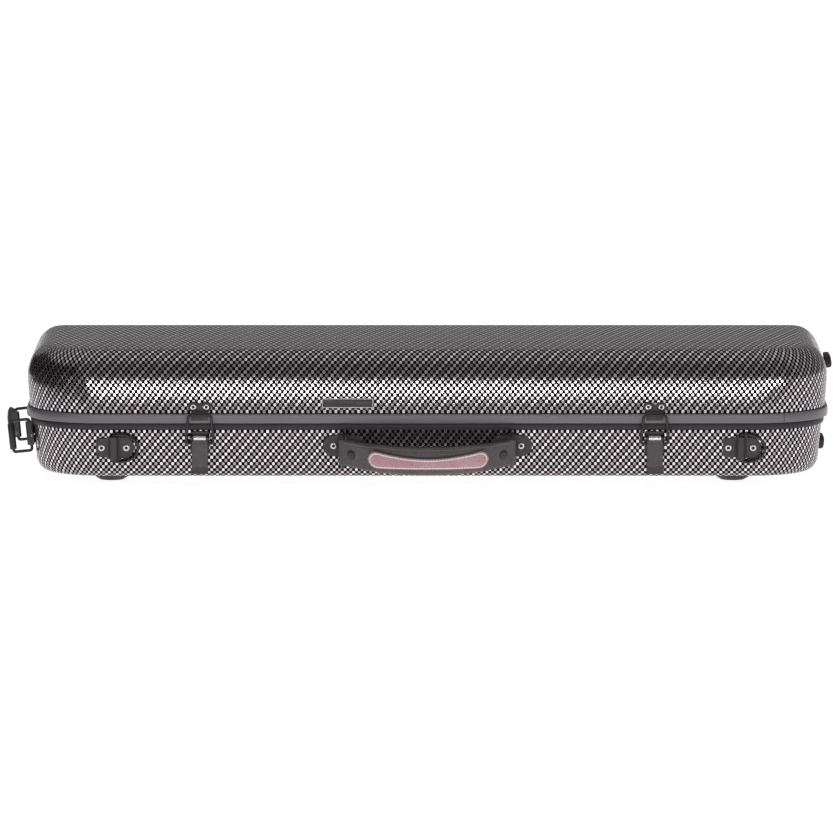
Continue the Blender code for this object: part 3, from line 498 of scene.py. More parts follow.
    def make(self, name, body, slot=None, replaces=(), sharp=32.0):
        me = bpy.data.meshes.new(name)
        me.from_pydata([((x * MM + OX), (y * MM + OY), z * MM)
                        for x, y, z in self.v], [], self.f)
        for m in self.mats:
            me.materials.append(M[m])
        me.polygons.foreach_set("material_index", self.m)
        bm = bmesh.new()
        bm.from_mesh(me)
        bmesh.ops.recalc_face_normals(bm, faces=bm.faces)
        bm.to_mesh(me)
        bm.free()
        me.shade_smooth()
        me.set_sharp_from_angle(angle=math.radians(sharp))
        ob = bpy.data.objects.new(name, me)
        bpy.context.scene.collection.objects.link(ob)
        return place(ob, body, replaces)


def place(ob, body, replaces=()):
    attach(ob, body)
    if replaces:
        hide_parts(*replaces)
    return ob


def arc(cx, cy, r, a0, a1, n):
    return [(cx + r * math.cos(math.radians(a0 + (a1 - a0) * i / n)),
             cy + r * math.sin(math.radians(a0 + (a1 - a0) * i / n)))
            for i in range(n + 1)]


def rbox(a, b, r, n=6, cx=0.0, cy=0.0):
    """Rounded rectangle outline, counter-clockwise."""
    r = min(r, a - 0.01, b - 0.01)
    out = []
    for sx, sy, q in ((1, 1, 0), (-1, 1, 90), (-1, -1, 180), (1, -1, 270)):
        out += arc(cx + sx * (a - r), cy + sy * (b - r), r, q, q + 90, n)
    return out


def corner(a, b, c, r, n=6):
    a, b, c = Vector(a), Vector(b), Vector(c)
    p, q = b + (a - b).normalized() * r, b + (c - b).normalized() * r
    return [tuple(p.lerp(b, i / n).lerp(b.lerp(q, i / n), i / n))
            for i in range(n + 1)]


def shift(x=0.0, y=0.0, z=0.0):
    return Matrix.Translation((x, y, z))


def rot(deg, axis):
    return Matrix.Rotation(math.radians(deg), 4, axis)


def wall_front(x, z):
    y = SHW - INSET - DRAFT * (BASE_TOP - z)
    return shift(x, -y, z) @ Matrix.Rotation(TILT, 4, "X")


def wall_end(side, y, z):
    x = SHL - INSET - DRAFT * (BASE_TOP - z)
    return shift(side * x, y, z) @ rot(90.0 * side, "Z") @ \
        Matrix.Rotation(TILT, 4, "X")


# ------------------------------------------------- outline loops of the case
CN = 22            # segments in a corner
LN, WN = 26, 8     # segments along a long and a short straight side


def outline(d, z, extra_l=0.0):
    """Points round the plan outline, from the middle of the front side. The
    rear corners are tighter than the front ones."""
    la, wa = SHL + d + extra_l, SHW + d
    rf, rb = max(0.6, SR + d), max(0.6, SR_BACK + d)
    fx, fy, bx, by = la - rf, wa - rf, la - rb, wa - rb
    pts = []
    for i in range(LN // 2):
        pts.append((fx * i / (LN // 2), -wa))
    pts += [(fx + x, -fy + y) for x, y in arc(0, 0, rf, -90, 0, CN)][:-1]
    for i in range(WN):
        pts.append((la, -fy + (fy + by) * i / WN))
    pts += [(bx + x, by + y) for x, y in arc(0, 0, rb, 0, 90, CN)][:-1]
    for i in range(LN):
        pts.append((bx - 2 * bx * i / LN, wa))
    pts += [(-bx + x, by + y) for x, y in arc(0, 0, rb, 90, 180, CN)][:-1]
    for i in range(WN):
        pts.append((-la, by - (fy + by) * i / WN))
    pts += [(-fx + x, -fy + y) for x, y in arc(0, 0, rf, 180, 270, CN)][:-1]
    for i in range(LN // 2):
        pts.append((-fx + fx * i / (LN // 2), -wa))
    return [(x, y, z) for x, y in pts]


def ring_piece(name, profile, mat, body, slot, replaces, sharp=28.0):
    p = Part()
    p.loft([outline(d, z) for d, z in profile], mat, ring=True)
    return p.make(name, body, slot, replaces, sharp)


CELL_U, CELL_V = 2.7, 3.2
SEAM_LOOP = outline(0.0, 0.0)
ARC_S = [0.0]
for _i in range(1, len(SEAM_LOOP) + 1):
    _p, _q = Vector(SEAM_LOOP[_i - 1]), Vector(SEAM_LOOP[_i % len(SEAM_LOOP)])
    ARC_S.append(ARC_S[-1] + (_q - _p).length)


def shell(name, outer, inner, zc, turn, body, replaces, stretch=1.0):
    """Moulded shell. outer and inner are (offset, height, extra length)
    from the rim to the middle of the closed side. The weave map runs round
    the walls by arc length and goes flat across the closed side."""
    n = len(SEAM_LOOP)
    loops = [outline(*p) for p in outer]
    inn = [outline(*p) for p in inner]
    verts = [p for lp in loops for p in lp]
    faces, uvs, mats = [], [], []
    t = [0.0]
    for (d0, z0, e0), (d1, z1, e1) in zip(outer, outer[1:]):
        t.append(t[-1] + math.hypot(d1 - d0, z1 - z0))
    flat_from = next(i for i, p in enumerate(outer) if p[0] < -zc)
    t_flat, y_flat = t[flat_from - 1], SHW + outer[flat_from - 1][0]

    def plan(p):
        """Weave coordinates on the closed side, in mm."""
        return (p[0], t_flat + (y_flat + p[1]) / stretch)

    for i in range(len(loops) - 1):
        for s in range(n):
            q = (s + 1) % n
            faces.append((i * n + s, i * n + q, (i + 1) * n + q,
                          (i + 1) * n + s))
            mats.append(0)
            if i >= flat_from - 1:
                uvs.append([plan(loops[i][s]), plan(loops[i][q]),
                            plan(loops[i + 1][q]), plan(loops[i + 1][s])])
            else:
                a, b = ARC_S[s], ARC_S[s + 1]
                if s >= n // 2 + 6:       # left half counts back from zero
                    a, b = a - ARC_S[-1], b - ARC_S[-1]
                uvs.append([(a, t[i]), (b, t[i]), (b, t[i + 1]),
                            (a, t[i + 1])])
    last = len(loops) - 1
    faces.append(tuple(last * n + s for s in range(n)))
    uvs.append([plan(p) for p in loops[last]])
    mats.append(0)
    base = len(verts)
    verts += [p for lp in inn for p in lp]
    for s in range(n):                    # rim between the two skins
        q = (s + 1) % n
        faces.append((s, q, base + q, base + s))
        uvs.append([(0, 0)] * 4)
        mats.append(1)
    for i in range(len(inn) - 1):
        for s in range(n):
            q = (s + 1) % n
            faces.append((base + i * n + s, base + i * n + q,
                          base + (i + 1) * n + q, base + (i + 1) * n + s))
            uvs.append([(0, 0)] * 4)
            mats.append(1)
    last = base + (len(inn) - 1) * n
    faces.append(tuple(last + s for s in range(n)))
    uvs.append([(0, 0)] * n)
    mats.append(1)
    me = bpy.data.meshes.new(name)
    me.from_pydata([((x * MM + OX), (y * MM + OY), z * MM)
                    for x, y, z in verts], [], faces)
    me.materials.append(M["weave"])
    me.materials.append(M["inner"])
    me.polygons.foreach_set("material_index", mats)
    uv = me.uv_layers.new(name="weave")
    flat = [c for f in uvs for c in f]
    uv.data.foreach_set("uv", [k for a, b in flat
                               for k in (a / CELL_U, turn * b / CELL_V)])
    bm = bmesh.new()
    bm.from_mesh(me)
    bmesh.ops.recalc_face_normals(bm, faces=bm.faces)
    bmesh.ops.triangulate(bm, faces=[f for f in bm.faces
                                     if len(f.verts) > 4])
    bm.to_mesh(me)
    bm.free()
    me.shade_smooth()
    me.set_sharp_from_angle(angle=math.radians(50))
    ob = bpy.data.objects.new(name, me)
    bpy.context.scene.collection.objects.link(ob)
    return place(ob, body, replaces)


# ------------------------------------------------------------------ lid shell
def lid_profile(off, k):
    """The wall, then the rounding. The wall is slightly crowned: it leans
    back by 0.8 degrees at the seam and by 7 degrees at the shoulder."""
    out = []
    for i in range(13):
        z = LID_BOTTOM + (KNEE - LID_BOTTOM) * i / 12
        w = (z - LID_BOTTOM) / (KNEE - LID_BOTTOM)
        h = z - LID_BOTTOM
        crown = -math.radians(0.8 * h + 0.09 * h * h)
        out.append((crown - off, z, BULGE * min(1.0, 0.25 + w) - crown))
    end, ext = out[-1][0] + off, out[-1][2]
    q0 = math.radians(9.0)
    n0, z0 = 1 - math.cos(q0), math.sin(q0)
    for i in range(1, k + 1):
        q = q0 + (math.pi / 2 - q0) * i / k
        f = (1 - math.cos(q) - n0) / (1 - n0)
        g = (math.sin(q) - z0) / (1 - z0)
        out.append((end - off - (LRH + end - off) * f,
                    KNEE + (LRV - off) * g, ext + (BULGE - ext) * f))
    return out


outer = lid_profile(0.0, 14)
for d, up in ((-8.0, 0.28), (-20.0, 0.6), (-34.0, 0.85), (-49.0, CROWN)):
    outer.append((-LRH + d, LID_TOP - CROWN + up, BULGE))
inner = lid_profile(WALL, 8)
shell("lid_shell_skin", outer, inner, LRH + 1.0, 1, "lid", ["lid_shell"], 3.0)

# ----------------------------------------------------------------- base shell
def base_wall(z):
    return -(INSET + DRAFT * (BASE_TOP - z))


bknee = BASE_BOTTOM + BRV


def base_profile(off, k):
    out = [(base_wall(BASE_TOP - (BASE_TOP - bknee) * i / 6) - off,
            BASE_TOP - (BASE_TOP - bknee) * i / 6, 0.0) for i in range(7)]
    for i in range(1, k + 1):
        q = math.pi / 2 * i / k
        out.append((base_wall(bknee) - off - (BRH - off) * (1 - math.cos(q)),
                    bknee - (BRV - off) * math.sin(q), 0.0))
    return out


outer = base_profile(0.0, 12)
outer += [(base_wall(bknee) - BRH - 14.0, BASE_BOTTOM, 0.0),
          (base_wall(bknee) - BRH - 40.0, BASE_BOTTOM, 0.0)]
shell("base_shell_skin", outer, base_profile(WALL, 8),
      -base_wall(bknee) + BRH + 1.0, -1, "base", ["base_shell"])

# ------------------------------------------------------------ seam extrusions
val = [(1.6, 61.4)]
val += [(3.2 - 1.0 * (1 - math.sin(q)), 62.4 - 1.0 * math.cos(q))
        for q in (math.pi / 2 * i / 4 for i in range(1, 5))]
val += [(3.45, 64.6), (3.5, 66.2), (3.45, 67.8)]
val += [(3.2 - 1.0 * (1 - math.cos(q)), 69.9 + 1.0 * math.sin(q))
        for q in (math.pi / 2 * i / 4 for i in range(0, 5))]
val += [(1.2, 70.9), (0.9, 70.9), (-2.9, 70.9), (-2.9, 73.8), (-4.9, 73.8),
        (-4.9, 61.4)]
ring_piece("lid_valance_extrusion", val, "valance", "lid", "satin_seam",
           ["lid_valance"])
rim = [(-1.4, 54.8)]
rim += [(-0.6 - 0.8 * (1 - math.sin(q)), 55.6 - 0.8 * math.cos(q))
       for q in (math.pi / 2 * i / 4 for i in range(1, 5))]
rim += [(-0.3, 57.0), (-0.3, 59.0)]
rim += [(-0.6 - 0.8 * (1 - math.cos(q)), 60.1 + 0.8 * math.sin(q))
       for q in (math.pi / 2 * i / 4 for i in range(0, 5))]
rim += [(-2.2, 60.9), (-8.3, 60.9), (-8.3, 48.0), (-6.25, 48.0), (-5.5, 54.8)]
# the rim's colour holds painted shade from the valance above it
ring_piece("base_rim_extrusion", rim, "rim", "base", "satin_seam",
           ["base_rim"])
ring_piece("seam_gasket", [(-7.9, 61.2), (-7.9, 62.6), (-7.6, 63.1),
                           (-6.8, 63.4), (-6.0, 63.1), (-5.7, 62.6),
                           (-5.7, 61.2)], "rubber", "base", "black_rubber",
           ["rim_gasket"])

# joint of the valance near the right front corner
p = Part()
for side in (1,):
    a = math.radians(-66)
    cx, cy = SHL - SR, -(SHW - SR)
    f = shift(cx, cy, 0) @ rot(-66 + 90, "Z")
    p.slab([(-0.3, 61.9), (0.3, 61.9), (0.3, 70.4), (-0.3, 70.4)],
           -(SR + 2.2), -(SR + 3.56), "Y", "joint", f, 0.05, 1)
p.make("valance_joint", "lid", "black_rubber")


# --------------------------------------------------------- hardware builders
def rivet_pair(name, f, half, depth, body, node, head_n, r=2.9, strip=3.6,
               dark=0.5):
    """Two tubular rivets with rolled heads, and their backing strip."""
    p = Part()
    p.slab(rbox(half + 4, strip, 1.2, 3), depth, depth + 1.2, "Y", "silver",
           f, 0.25, 2)
    for s in (-1, 1):
        at = (s * half, 0.0)
        h = -head_n
        prof = [(1.35, depth + 0.6), (1.35, h + 0.2), (r - 0.3, h + 0.1)]
        prof += [(r - 0.3 + 0.3 * math.sin(q), h - 0.3 + 0.3 * math.cos(q) - 0.0)
                 for q in (math.pi * i / 4 for i in range(1, 4))]
        prof += [(r - 0.55, h - 0.72), (r - 1.0, h - 0.9), (r - 1.4, h - 0.78),
                 (r - 1.6, h - 0.35)]
        p.lathe(prof, "Y", "silver", f, 32, at)
        # painted shade: a near-black disc in the head's middle stands in for the shade
        # down the rivet's bore
        p.lathe([(r - 1.7, h - 0.30), (r - 1.62, h - 0.42), (r - 2.1, h - 0.46)],
                "Y", "painted_bore_shade", f, 24, at)
    return p.make(name, body, "silver_metal", [node], 40)


ROUND_PLATE = arc(8.2, 0, 9.3, -90, 90, 20) + arc(-8.2, 0, 9.3, 90, 270, 20)
WIDE_PLATE = arc(9.4, 0, 10.6, -90, 90, 22) + arc(-9.4, 0, 10.6, 90, 270, 22)
STRAP_PLATE = arc(9.2, 0, 10.6, -90, 90, 22) + \
    arc(-14.9, 6.8, 2.5, 90, 180, 6) + arc(-14.9, -6.8, 2.5, 180, 270, 6)


def bracket(name, f, node, plate):
    """Pressed plate with a rolled sleeve, rounded rims."""
    p = Part()
    p.slab(plate, -GAP, -GAP - 1.5, "Y", "bracket", f, 0.45, 4)
    # rolled sleeve: a half-round shell with the wire's bore left open
    sec = [(-4.9, -1.7), (-4.2, -2.2)]
    sec += [(-3.9 * math.cos(q), -BAR_N - 3.9 * math.sin(q))
            for q in (math.pi * i / 14 for i in range(0, 15))]
    sec += [(4.2, -2.2), (4.9, -1.7)]
    bore = [(2.1 * math.cos(q), -BAR_N - 2.1 * math.sin(q))
            for q in (math.pi * (-0.5 + 2.0 * i / 15) for i in range(0, 16))]
    # outer skin and inner bore make one ring-shaped section, cut at the foot
    sec = sec + [(1.2, -1.7)] + bore[::-1][1:-1] + [(-1.2, -1.7)]
    loops = []
    for h, g in ((-11.5, 0.5), (-11.2, 0.15), (-10.6, 0.0), (10.6, 0.0),
                 (11.2, 0.15), (11.5, 0.5)):
        loops.append([(x * (1 - g * 0.06), y + g * 0.12, h) for x, y in sec])
    n, k = len(sec), len(loops)
    verts = [q for lp in loops for q in lp]
    faces = [(i * n + s, i * n + (s + 1) % n, (i + 1) * n + (s + 1) % n,
              (i + 1) * n + s) for i in range(k - 1) for s in range(n)]
    tri = mgeo.tessellate_polygon([[Vector((x, y, 0)) for x, y in sec]])
    faces += [tuple(t) for t in tri]
    faces += [tuple((k - 1) * n + i for i in reversed(t)) for t in tri]
    p.add(verts, faces, "bracket", f)
    # pressed step lines beside the sleeve
    for s in (-1, 1):
        p.slab(rbox(0.35, 8.2, 0.3, 3, s * 5.6), -GAP - 1.4, -GAP - 1.85,
               "Y", "bracket", f, 0.15, 2)
    return p.make(name, "base", "black_metal", [node], 35)


def square_ring(name, f, body, node):
    c = [(0, 0, -RING_H), (0, -RING_REACH, -RING_H),
         (0, -RING_REACH, RING_H), (0, 0, RING_H)]
    path = []
    for i in range(4):
        path += corner(c[i - 1], c[i], c[(i + 1) % 4], 2.6, 6)
    p = Part()
    p.tube(path, 1.5, 16, (1, 0, 0), True, "black", f)
    return p.make(name, body, "black_metal", [node])


def d_ring(name, f, body, node):
    path = corner((4, 0, 13.2), (0, 0, 13.2), (0, 0, 0), 2.2, 6)
    path += corner((0, 0, 0), (0, 0, -13.2), (4, 0, -13.2), 2.2, 6)
    for i in range(33):
        q = math.radians(-90.0 + 180.0 * i / 32)
        path.append((6.0 + 17.4 * math.cos(q), 0, 13.6 * math.sin(q)))
    p = Part()
    p.tube(path, 1.35, 16, (0, 1, 0), True, "black", f)
    return p.make(name, body, "black_metal", [node])


for tag, s in (("left", -1), ("right", 1)):
    f = wall_front(s * STRAP_X, STRAP_Z)
    bracket("strap_bracket_%s_plate" % tag, f, "strap_bracket_" + tag,
            STRAP_PLATE)
    rivet_pair("strap_rivets_%s_set" % tag, f, RIVET_X, 3.2, "base",
               "strap_rivets_" + tag, 2.1, 3.1)
    d_ring("strap_d_ring_" + tag, f @ shift(0, -BAR_N, 0), "d_ring_" + tag,
           "d_ring_" + tag)
    f = wall_front(s * HANDLE_X, HANDLE_Z)
    bracket("handle_bracket_%s_plate" % tag, f, "handle_bracket_" + tag,
            WIDE_PLATE)
    rivet_pair("handle_rivets_%s_set" % tag, f, HANDLE_RIVET_X, 3.2, "base",
               "handle_rivets_" + tag, 2.1, 3.1)
    square_ring("handle_wire_ring_" + tag,
                f @ shift(0, -BAR_N, -RING_DROP), "handle_ring_" + tag,
                "handle_ring_" + tag)
for tag, y in (("front", -END_Y), ("rear", END_Y)):
    f = wall_end(-1, y, END_Z)
    bracket("end_bracket_%s_plate" % tag, f, "end_bracket_" + tag,
            ROUND_PLATE)
    rivet_pair("end_rivets_%s_set" % tag, f, RIVET_X, WALL + 1.9, "base",
               "end_rivets_" + tag, 2.1, 3.1)
    square_ring("end_wire_ring_" + tag, f @ shift(0, -BAR_N, -RING_DROP),
                "end_ring_" + tag, "end_ring_" + tag)

# -------------------------------------------------------------------- latches
for tag, s in (("left", -1), ("right", 1)):
    f = wall_front(s * LATCH_X, LATCH_Z)
    p = Part()
    p.slab(rbox(9.3, 11.3, 1.6, 5, 0, -5.7), -GAP, -GAP - 1.5, "Y", "black",
           f, 0.4, 3)
    ear = [(-1.0, 4.4), (-1.0, -3.6), (-PIVOT_N, -3.1)]
    ear += [(-PIVOT_N - 3.1 * math.sin(q), -3.1 * math.cos(q))
            for q in (math.pi * i / 12 for i in range(1, 12))]
    ear += [(-PIVOT_N, 3.1)]
    for lo, hi in ((-9.3, -8.1), (8.1, 9.3)):
        p.slab(ear, lo, hi, "X", "black", f, 0.25, 2)
    p.make("latch_plate_%s_body" % tag, "base", "black_metal",
           ["latch_plate_" + tag])
    # roller pin with turned shoulders
    g = f @ shift(0, -PIVOT_N, 0)
    p = Part()
    p.lathe([(0.6, -9.95), (1.3, -9.8), (1.5, -9.5), (1.5, -6.3), (2.5, -6.2),
             (2.9, -5.9), (3.0, -5.4), (3.0, 5.4), (2.9, 5.9), (2.5, 6.2),
             (1.5, 6.3), (1.5, 9.5), (1.3, 9.8), (0.6, 9.95)], "X", "silver",
            g, 32)
    p.make("latch_roller_%s" % tag, "base", "silver_metal",
           ["latch_pin_" + tag], 40)
    # lever: pressed channel with a rolled, flared tab
    W = 7.8

    def strip(path, width):
        out = []
        for (y, z), w in zip(path, width):
            out.append((y, z, w))
        return out

    p = Part()
    front = [(-2.9, -1.6), (-3.35, -3.2), (-3.4, -5.0), (-3.35, -10.0),
             (-3.2, -18.0), (-3.0, -25.2), (-3.05, -26.6), (-3.5, -28.2),
             (-4.3, -30.6), (-5.15, -33.2)]
    back = [(-1.5, -1.9), (-1.9, -3.4), (-1.95, -5.0), (-1.9, -10.0),
            (-1.75, -18.0), (-1.6, -25.2), (-1.55, -27.2), (-1.9, -28.9),
            (-2.8, -31.4), (-4.2, -34.3)]
    loops = []
    for (yf, zf), (yb, zb) in zip(front, back):
        w = W if zf > -26 else W + 0.35 * min(1.0, (-26 - zf) / 4)
        e = 0.45
        loops.append([(-w, yf + 0.55, zf), (-w + e, yf + 0.1, zf),
                      (-w + 1.1, yf, zf), (w - 1.1, yf, zf),
                      (w - e, yf + 0.1, zf), (w, yf + 0.55, zf),
                      (w, yb, zb), (-w, yb, zb)])
    p.loft(loops, "lever", f @ shift(0, -PIVOT_N, 0))
    # raised centre panel
    panel = []
    for (y, z), e in zip([(-3.30, -4.2), (-3.62, -4.7), (-3.72, -6.0),
                          (-3.62, -15.0), (-3.40, -23.6), (-3.24, -24.9),
                          (-2.9, -25.4)], (0.5, 0.15, 0, 0, 0, 0.15, 0.5)):
        w = 6.3 - e
        panel.append([(-w, y + 0.5, z), (-w + 0.25, y + 0.12, z),
                      (-w + 0.7, y, z), (w - 0.7, y, z),
                      (w - 0.25, y + 0.12, z), (w, y + 0.5, z),
                      (w, y + 1.2, z), (-w, y + 1.2, z)])
    p.loft(panel, "lever", f @ shift(0, -PIVOT_N, 0))
    # side flanges with the two eyes
    side = [(2.2, 2.2), (1.2, 2.85), (0.0, 3.1), (-1.2, 2.85), (-2.2, 2.2),
            (-2.9, 1.2), (-3.2, 0.0), (-3.3, -3.4), (-2.9, -27.2),
            (-1.6, -28.6), (0.2, -27.8), (1.2, -16.0), (2.6, -7.6),
            (3.1, -2.0), (3.0, 0.6)]
    for a, b in ((-W, -W + 1.4), (W - 1.4, W)):
        p.slab(side, a, b, "X", "black", f @ shift(0, -PIVOT_N, 0), 0.3, 3)
    # little rolled bead under the tab
    p.tube([(-W - 0.2, -5.0, -33.9), (0, -5.0, -33.9), (W + 0.2, -5.0, -33.9)],
           0.75, 10, (0, 1, 0), False, "lever", f @ shift(0, -PIVOT_N, 0))
    p.make("latch_lever_%s_body" % tag, "latch_lever_" + tag, "lever_metal",
           ["latch_lever_" + tag], 30)
    # wire bail
    eye = f @ Vector((0, -7.3, -5.2))
    top = Vector((s * LATCH_X, -(SHW + 7.75), 69.9))
    run = top - eye
    length = math.hypot(run.y, run.z)
    bf = Matrix.Translation(eye) @ Matrix.Rotation(
        math.atan2(-run.y, run.z), 4, "X")
    a, b, c, d = ((-6.5, 0, 0), (-13.4, 0, 0), (-10.9, 0, length),
                  (0, 0, length))
    path = [a] + corner(a, b, c, 2.4, 6) + corner(b, c, d, 3.4, 8)
    path = path + [(-x, y, z) for x, y, z in reversed(path)]
    p = Part()
    p.tube(path, 1.3, 14, (0, 1, 0), False, "black", bf)
    p.make("latch_bail_%s_wire" % tag, "latch_bail_" + tag, "black_metal",
           ["latch_bail_" + tag])
    # keeper: two-lobed plate, folded hook
    kf = shift(s * LATCH_X, -SHW, 77.4)
    p = Part()
    lobes = arc(6.3, 0, 5.0, -62, 132, 20)
    lobes += [(1.6, 2.75), (0.0, 2.5), (-1.6, 2.75)]
    lobes += arc(-6.3, 0, 5.0, 48, 242, 20)
    lobes += [(-8.4, -5.6), (8.4, -5.6)]
    p.slab(lobes, -GAP, -GAP - 1.4, "Y", "bracket", kf, 0.4, 3)
    for q in (-1, 1):     # raised collars round the rivets
        p.ring_lathe([(3.2, -1.6), (3.4, -1.95), (3.9, -2.05), (4.3, -1.85),
                      (4.4, -1.6)], "Y", "bracket", kf, 32, (q * 6.3, 0))
    hook = [(0.3, 71.25), (2.9, 71.25), (3.6, 70.2), (3.6, 64.4),
            (4.9, 64.4), (4.9, 68.2), (5.6, 68.25), (6.1, 68.6), (6.2, 69.8),
            (5.0, 71.2), (3.0, 72.7), (1.7, 74.2), (0.5, 74.2)]
    p.slab([(-n, z - 77.4) for n, z in hook], -8.1, 8.1, "X", "bracket", kf,
           0.3, 3)
    p.make("keeper_%s_plate" % tag, "lid", "black_metal", ["keeper_" + tag])
    rivet_pair("keeper_rivets_%s_set" % tag, kf, 6.3, WALL + GAP, "lid",
               "keeper_rivets_" + tag, 2.0, 2.9, 3.0)

# --------------------------------------------------------------------- hinges
for tag, s in (("left", -1), ("right", 1)):
    f = shift(s * HINGE_X, HINGE_Y, HINGE_Z)
    half = HINGE_W / 2
    low, topp, pin = Part(), Part(), Part()
    low.slab([(-7.3, -5.9), (-7.3, -1.6), (-3.7, -1.6), (-3.4, -3.0),
              (-0.6, -3.0), (-0.6, -4.2), (-2.6, -4.4), (-4.4, -5.9)],
             -half, half, "X", "black", f, 0.3, 2)
    topp.slab([(-3.5, 1.4), (-2.6, 3.0), (-0.6, 3.0), (-0.6, 4.4),
               (-2.1, 4.6), (-2.1, 8.8), (-3.5, 8.8)], -half, half, "X",
              "black", f, 0.3, 2)
    cuts = [-half, -half + 17.0, half - 17.0, half]
    for k in range(3):
        a, b = cuts[k] + 0.15, cuts[k + 1] - 0.15
        part = topp if k == 1 else low
        part.ring_lathe([(1.9, a), (2.7, a), (3.0, a + 0.3), (3.0, b - 0.3),
                         (2.7, b), (1.9, b)], "X", "black", f, 28)
    for x in (-19.0, 0.0, 19.0):
        topp.lathe([(2.1, -2.15), (2.1, -1.8), (1.6, -1.3), (0.8, -1.05)],
                   "Y", "silver", f @ shift(x, 0, 6.8), 24)
    pin.lathe([(0.7, -half - 0.4), (1.5, -half - 0.1), (1.5, half + 0.1),
               (0.7, half + 0.4)], "X", "silver", f, 24)
    low.make("hinge_base_leaf_%s_body" % tag, "base", "black_metal",
             ["hinge_base_leaf_" + tag])
    topp.make("hinge_lid_leaf_%s_body" % tag, "lid", "black_metal",
              ["hinge_lid_leaf_" + tag])
    pin.make("hinge_pin_%s_rod" % tag, "base", "silver_metal",
             ["hinge_pin_" + tag])

# ------------------------------------------------------------ feet, bumpers
for a, sy in (("front", -1), ("rear", 1)):
    for b, sx in (("left", -1), ("right", 1)):
        f = shift(-5.0 + sx * 303.0, sy * 72.0, 0)
        p = Part()
        prof = [(9.0, 0.02), (10.2, 0.12), (12.5, 0.8), (14.3, 1.7), (15.9, 2.9),
                (17.0, 4.1), (17.7, 5.2), (17.9, 5.9), (18.1, 6.2),
                (18.4, 6.4), (18.4, 7.45)]
        p.lathe(prof, "Z", "rubber", f, 56)
        p.ring_lathe([(11.2, 0.4), (11.6, 0.15), (12.0, 0.4), (11.8, 0.8),
                      (11.3, 0.8)], "Z", "rubber", f, 48)
        p.make("foot_%s_%s" % (a, b), "base", "black_rubber",
               ["bottom_foot_%s_%s" % (a, b)])


def bumper(name, f, body, node, thick):
    p = Part()
    loops = [[(x, -GAP, z) for x, z in rbox(18.0, 6.5, 6.4, 10)]]
    for i in range(7):
        q = math.pi / 2 * i / 6
        e = 3.0 * (1 - math.cos(q))
        y = -thick + 2.6 * (1 - math.sin(q))
        loops.append([(x, y, z) for x, z in
                      rbox(18.0 - e, 6.5 - e, 6.4 - e, 10)])
    p.loft(loops, "rubber", f)
    for z in (-2.0, 0.0, 2.0):
        p.slab(rbox(11.0, 0.45, 0.4, 4, 0, z), -thick + 0.1, -thick - 0.35,
               "Y", "rubber", f, 0.2, 2)
    p.make(name, body, "black_rubber", [node])


zc = 108.3
q = math.asin((zc - KNEE) / LRV)
bumper("lid_end_bumper_pad", shift(SHL + BULGE - LRH * (1 - math.cos(q)), 0,
                                   zc) @ rot(90, "Z") @
       Matrix.Rotation(-q, 4, "X"), "lid", "lid_end_bumper", 6.6)
bumper("base_end_bumper_pad", wall_end(1, 0.0, 29.0), "base",
       "base_end_bumper", 7.2)

# ------------------------------------------------------------------ nameplate
f = shift(-77.3, -SHW, 81.0)
p = Part()
p.slab(rbox(25, 4.7, 0.9, 4), -GAP, -GAP - 0.75, "Y", "plate", f, 0.2, 2)
frm = rbox(24.5, 4.2, 0.8, 4)
p.tube([(x, -GAP - 0.75, z) for x, z in frm], 0.42, 8, (0, 1, 0), True,
       "silver", f)
p.make("nameplate_blank", "lid", "name_plate", ["nameplate"])


# ===================================================================== handle
def blend(a, b, t):
    t = min(1.0, max(0.0, t))
    t = t * t * (3 - 2 * t)
    return a + (b - a) * t


class Arch:
    """The leather handle's centre line and section."""

    def __init__(self, span, rise, t, h, pad, droop=0.0):
        self.span, self.rise, self.t, self.h = span, rise, t, h
        self.pad, self.droop = pad, droop

    def point(self, x):
        n = self.rise * (1 - (x / self.span) ** 2)
        slope = -2 * self.rise * x / self.span ** 2
        k = math.hypot(1, slope)
        return (x, n), (-slope / k, 1 / k)

    def half(self, x):
        s = (self.pad[1] - abs(x)) / (self.pad[1] - self.pad[0])
        return (blend(self.t[0], self.t[1], s), blend(self.h[0], self.h[1], s),
                blend(7.0, 2.6, s))

    def sag(self, x):
        return -self.droop * max(0.0, 1 - (x / self.span) ** 2)

    def at(self, x, a, w):
        (px, pn), (ux, un) = self.point(x)
        return (px + a * ux, -(pn + a * un), w + self.sag(x))

    def face(self, x, w, off=0.0):
        t, h, e = self.half(x)
        k = max(0.0, 1 - min(1.0, abs(w) / h) ** e)
        return self.at(x, t * k ** (1 / e) + off, w)


def band(p, arch, x0, x1, n, sides, mat, f, grow=0.0):
    loops = []
    for i in range(n + 1):
        x = x0 + (x1 - x0) * i / n
        t, h, e = arch.half(x)
        edge = min(1.0, (min(x - x0, x1 - x) + 0.01) / 1.6)
        t = (t + grow) * (0.55 + 0.45 * edge)
        h = (h + grow) * (0.94 + 0.06 * edge)
        lp = []
        for j in range(sides):
            q = 2 * math.pi * (j + 0.5) / sides
            c, s = math.cos(q), math.sin(q)
            lp.append(arch.at(x, math.copysign(abs(c) ** (2 / e), c) * t,
                              math.copysign(abs(s) ** (2 / e), s) * h))
        loops.append(lp)
    p.loft(loops, mat, f)


grip = Arch(HANDLE_X, 31.5, (2.6, 7.4), (12.7, 13.6), (44.0, 70.0), 1.6)
hf = wall_front(0.0, HANDLE_Z) @ shift(0, -BAR_N - RING_REACH, -RING_DROP)
p = Part()
band(p, grip, -80.8, 80.8, 96, 56, "leather", hf)
